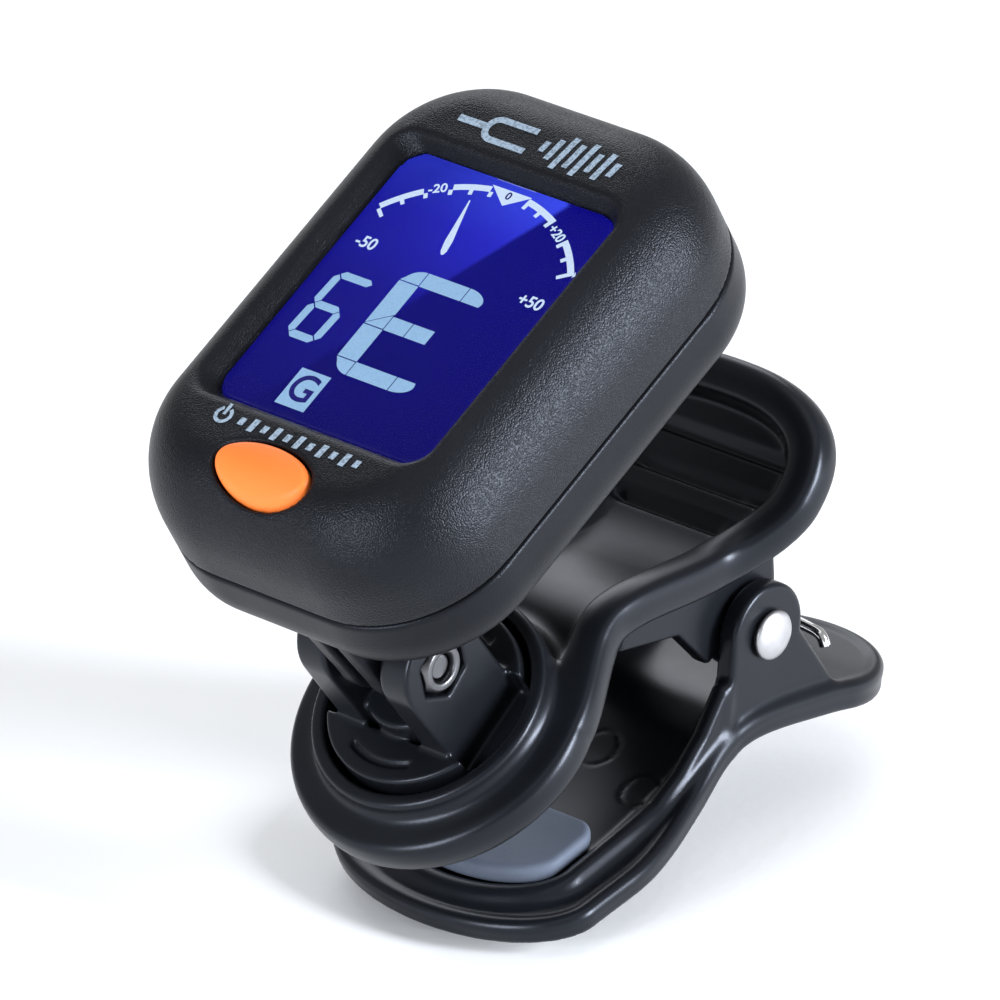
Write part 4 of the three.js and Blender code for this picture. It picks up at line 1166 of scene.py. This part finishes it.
def big_letter():
    """The note letter E in broad segments, with rounded outer corners and hairline breaks."""
    left, right, gap, thick = LETTER.left, LETTER.right, LETTER.gap, LETTER.thick
    far, inner = LETTER.bar_end, left + LETTER.stem
    middle = (LETTER.low + LETTER.high) / 2 + 0.1
    turns = np.linspace(0, math.pi / 2, 9)
    shapes = []
    for side, edge in ((1, LETTER.high), (-1, LETTER.low)):
        under = edge - side * thick
        bend = [(min(inner - 1.9 * math.sin(turn), inner - gap),
                 edge - side * 1.5 * (1 - math.cos(turn))) for turn in turns]
        tip = [(far + gap + (right - far) * math.sin(turn),
                edge - side * 1.15 * (1 - math.cos(turn))) for turn in turns]
        start = under + side * gap
        shapes.append([(inner - gap, start)] + bend + [(left + 0.02, start)])
        shapes.append(block(inner + gap, far - gap, edge, under))
        shapes.append([(far + gap, under)] + tip + [(right - 0.05, under)])
    stem_low = LETTER.low + thick + gap
    stem_high = LETTER.high - thick - gap
    bar_low, bar_high = middle - thick / 2, middle + thick / 2
    notch = bar_high + 0.2
    shapes.append(block(left, inner, stem_low, bar_low - gap))
    shapes.append([(left, bar_low + gap), (inner - gap, bar_low + gap),
                   (inner - gap, notch - 2 * gap)])
    shapes.append([(left, bar_low + 3 * gap), (inner, notch + gap), (inner, stem_high),
                   (left, stem_high)])
    for start, end in ((inner + gap, 1.1), (1.1 + 2 * gap, far)):
        shapes.append(block(start, end, bar_low, bar_high))
    return shapes


def small_figure():
    """A seven-segment 6 with pointed segments."""
    left, right, low, high, stroke, gap = -9.95, -6.1, 11.8, 19.8, 0.78, 0.1
    middle = (low + high) / 2
    half = stroke / 2
    shapes = []
    for level in (high - half, middle, low + half):
        start, end = left + half + gap, right - half - gap
        if level > middle + 1:
            end = right + 0.3
        shapes.append([(start, level), (start + half, level - half), (end - half, level - half),
                       (end, level), (end - half, level + half), (start + half, level + half)])
    for x, bottom, top in ((left + half, middle, high - half), (left + half, low + half, middle),
                           (right - half, low + half, middle)):
        start, end = bottom + gap, top - gap
        shapes.append([(x, start), (x + half, start + half), (x + half, end - half),
                       (x, end), (x - half, end - half), (x - half, start + half)])
    return [slanted(shape, middle, 0.06) for shape in shapes]


def needle():
    """A slim pointer, widest a third of the way up from its lower end."""
    top, bottom = np.array((-3.05, 30.9)), np.array((-1.5, 24.7))
    along = (top - bottom) / np.hypot(*(top - bottom))
    across = np.array((along[1], -along[0]))
    right = [(0, 0.12), (0.4, 0.3), (1.6, 0.38), (3, 0.27), (5.2, 0.12), (6.3, 0.05)]
    outline = [bottom + along * up + across * out for up, out in right]
    outline += [bottom + along * up - across * out for up, out in reversed(right)]
    return [tuple(point) for point in outline]


TICK_TILT = math.radians(27)

# Words on the display: text, centre, size and turn in the head's frame, then how wide it is drawn.
DARK_WORDS = {"mode_letter": ("G", (-4.0, 7.2), 4.1, 0, 0.95), "zero": ("0", (0.27, 32.45), 1.15)}
LIGHT_WORDS = {"minus_20": ("-20", (-6.85, 30.85), 1.4, TICK_TILT),
               "plus_20": ("+20", (7.35, 30.55), 1.4, -TICK_TILT),
               "minus_50": ("-50", (-9.35, 23.25), 1.75), "plus_50": ("+50", (10.1, 23.15), 1.75)}


def display_marks():
    """Everything that the display shows, each as its own thin piece just over the glass."""
    level = SCREEN.glass_top + 0.01
    over = level + INK_THICK + 0.01
    centre_mark = [(-2.1, 33.1), (0.3, 31.4), (2.5, 33.1)]
    shapes = {"scale": (tuning_scale(), SCALE_INK), "centre_mark": ([centre_mark], SCALE_INK),
              "needle": ([needle()], SCALE_INK), "letter": (big_letter(), SEGMENT),
              "figure": (small_figure(), SEGMENT),
              "mode_box": ([block(-5.7, -2.3, 5.15, 9.3)], SEGMENT)}
    pieces = [plate_piece("display_" + name, outlines, level, material)
              for name, (outlines, material) in shapes.items()]
    for words, height, material in ((DARK_WORDS, over, DEEP_BLUE), (LIGHT_WORDS, level, SCALE_INK)):
        pieces += [text_piece("display_" + name, height, material, *row)
                   for name, row in words.items()]
    for piece in pieces:
        settle(piece, "head", "blue_display")


def screen_pane():
    """The clear pane in the recess, just clear of its sloping walls."""
    across, up, half_width, half_height, corner = SCREEN.foot
    outline = []
    for turn, (right, over) in enumerate(((1, 1), (-1, 1), (-1, -1), (1, -1))):
        centre = (across + right * (half_width - corner), up + over * (half_height - corner))
        outline += arc_points(centre, corner + 0.08, 90 * turn, 90 * turn + 90, 9)
    return plate_piece("screen_pane", [outline], SCREEN.pane, WINDOW, SCREEN.pane_thick)


def ring_outline(centre, inner, outer, start, end, count=28):
    """A broken ring: angles are in degrees from the right."""
    return (arc_points(centre, outer, start, end, count)
            + arc_points(centre, inner, end, start, count))


def face_height(x, y):
    """How high the front shell's outside is at a place in the head's frame."""
    share = np.clip(inside_outline(x, y) / HEAD.shoulder_in, 0, 1)
    return HEAD.face - HEAD.shoulder_down * (1 - np.sqrt(1 - (1 - share) ** 2))


def printed(piece):
    """Lays a flat mark down on the face, following the fall of its shoulder."""
    back = HEAD_PLACE.inverted()
    for vert in piece.data.vertices:
        local = back @ vert.co
        local.z += float(face_height(np.float64(local.x), np.float64(local.y))) - HEAD.face
        vert.co = HEAD_PLACE @ local
    return settle(piece, "head", "shell_plastic")


def bar(x, y, half_wide, half_tall, lean=0.0):
    """An upright bar in several steps, so that it can follow a curved face."""
    heights = np.linspace(-half_tall, half_tall, 7)
    right = [(x + half_wide + lean * up, y + up) for up in heights]
    left = [(x - half_wide + lean * up, y + up) for up in heights[::-1]]
    return right + left


def stripe(left, right, y, half, count=9):
    places = np.linspace(left, right, count)
    return [(x, y - half) for x in places] + [(x, y + half) for x in places[::-1]]


def bar_row(x, y, step, lean, heights):
    """Bars side by side, from half heights."""
    return [bar(x + step * number, y, 0.3, tall, lean) for number, tall in enumerate(heights)]


def face_marks():
    """Printed marks on the face: a tuning fork and sound bars above, a power symbol row below."""
    y = 37.25
    fork = [ring_outline((-3.9, y), 0.85, 1.5, 90, 270), stripe(-3.9, 0.1, y + 1.17, 0.32),
            stripe(-3.9, 0.1, y - 1.17, 0.32), stripe(-8.4, -5.3, y, 0.36)]
    bars = bar_row(1.7, y, 1.15, 0.12, (0.6, 1.2, 1.9, 1.4, 1.95, 1.1, 1.6, 0.8))
    y = 1.05
    power = [ring_outline((-7.4, y), 0.6, 0.95, 120, 420), bar(-7.4, y + 0.65, 0.17, 0.62)]
    power += bar_row(-5.2, y, 1.35, 0.1, (0.4, 0.7) * 5 + (0.4,))
    marks = {"face_fork_mark": fork, "face_sound_bars": bars, "face_power_mark": power}
    for name, outlines in marks.items():
        printed(plate_piece(name, outlines, HEAD.face + 0.005, FACE_INK, 0.03))


# ---------------------------------------------------------------- assembly
# Each moulded or turned piece: its maker, its body, its record slot and the node it stands for.
PIECES = [
    (front_cover, "head", "shell_plastic", "front_cover"),
    (back_cover, "head", "shell_plastic", "back_cover"),
    (battery_door, "battery_door", "shell_plastic", "battery_door"),
    (power_button, "button", "orange_plastic", "power_button"),
    (upper_jaw, "upper_arm", "clip_plastic", "upper_jaw"),
    (upper_pad, "upper_arm", "pad_rubber", "upper_pad"),
    (lower_jaw, "lower_arm", "clip_plastic", "lower_jaw"),
    (lower_pad, "lower_arm", "pad_rubber", "lower_pad"),
    (turret, "turret", "clip_plastic", "turret"),
    (tilt_nut, "turret", "dark_steel", "tilt_nut"),
    (tilt_bolt, "turret", "dark_steel", "tilt_bolt"),
    (swivel_screw, "upper_arm", "bright_steel", "swivel_screw"),
    (rivet, "lower_arm", "bright_steel", "hinge_pin"),
]


def build_pieces():
    for maker, body, material_slot, node in PIECES:
        settle(maker(), body, material_slot, node)
    display_marks()
    settle(screen_pane(), "head", "clear_plastic", "screen_window")
    face_marks()
    spring = wire_piece("spring_wire", spring_route(), SPRING.wire, CHROME)
    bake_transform(spring)
    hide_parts("torsion_spring")


# The CAD nodes that keep their own shape, under the finish that they take.
CAD_FINISHES = [
    (STEEL, ["coin_cell", "case_screw_1", "case_screw_2", "case_screw_3", "case_screw_4"]),
    (DARK_STEEL, ["swivel_washer"]),
    (BRASS, ["piezo_disc", "battery_contact_rim", "battery_contact_centre"]),
    (WHITE, ["backlight_panel", "switch_plunger"]),
    (PAD, ["zebra_strip_lower", "zebra_strip_upper"]),
    (BOARD, ["circuit_board"]),
    (RESIN, ["controller_chip", "switch_body"]),
    (DISPLAY, ["lcd_glass"]),
]


def finish_cad_nodes():
    for material, nodes in CAD_FINISHES:
        for node in nodes:
            for place in frame["nodes"][node].material_slots:
                place.material = material


# ---------------------------------------------------------------- studio
AIM = Vector((0, 1.7, 38.4)) * MM
AZIMUTH = math.radians(42.2)
ELEVATION = math.radians(24.4)
CAMERA_DISTANCE = 0.95
FOCAL_LENGTH = 386.5
DAYLIGHT = (0.88, 0.93, 1)


def towards(azimuth, elevation):
    """The direction from the part to a place round it, where azimuth 0 is in front."""
    level = math.cos(elevation)
    return Vector((math.sin(azimuth) * level, -math.cos(azimuth) * level, math.sin(elevation)))


def stand(name, data, azimuth, elevation, distance):
    """Adds a camera or a lamp at a distance from the part, turned towards it."""
    item = bpy.data.objects.new(name, data)
    direction = towards(azimuth, elevation)
    item.location = AIM + direction * distance
    item.rotation_euler = direction.to_track_quat("Z", "Y").to_euler()
    bpy.context.scene.collection.objects.link(item)
    return item


def camera():
    data = bpy.data.cameras.new("camera")
    data.lens = FOCAL_LENGTH
    data.sensor_width = 36
    data.clip_start = 0.01
    data.clip_end = 20
    bpy.context.scene.camera = stand("camera", data, AZIMUTH, ELEVATION, CAMERA_DISTANCE)


def softbox(name, azimuth, elevation, distance, size, watts, tint=(1, 1, 1)):
    """A rectangular area light aimed at the part; azimuth and elevation are in degrees."""
    data = bpy.data.lights.new(name, "AREA")
    data.shape = "RECTANGLE"
    data.size, data.size_y = size
    data.energy = watts
    data.color = tint
    stand(name, data, math.radians(azimuth), math.radians(elevation), distance)


def studio():
    """A plain pale floor under a white sky, with four soft lights."""
    mesh = bpy.data.meshes.new("floor")
    build = bmesh.new()
    bmesh.ops.create_grid(build, x_segments=8, y_segments=8, size=3)
    build.to_mesh(mesh)
    build.free()
    floor = shown("floor", mesh, floor_paper())
    floor.location.z = -0.00005
    world = bpy.data.worlds.new("studio")
    world.use_nodes = True
    sky = world.node_tree.nodes["Background"]
    sky.inputs["Color"].default_value = (1, 1, 1, 1)
    sky.inputs["Strength"].default_value = 0.4
    bpy.context.scene.world = world
    softbox("key", 110, 13, 0.7, (0.15, 0.34), 12, DAYLIGHT)
    softbox("front_fill", 0, 12, 0.7, (0.22, 0.3), 5, DAYLIGHT)
    softbox("overhead", 10, 78, 1.3, (1.3, 1.3), 3.8)
    softbox("rim", 230, 30, 0.9, (0.6, 0.5), 2.6, (0.92, 0.95, 1))
    view = bpy.context.scene.view_settings
    view.view_transform = "Standard"
    view.look = "None"
    view.exposure = 0.0


build_pieces()
finish_cad_nodes()
camera()
studio()
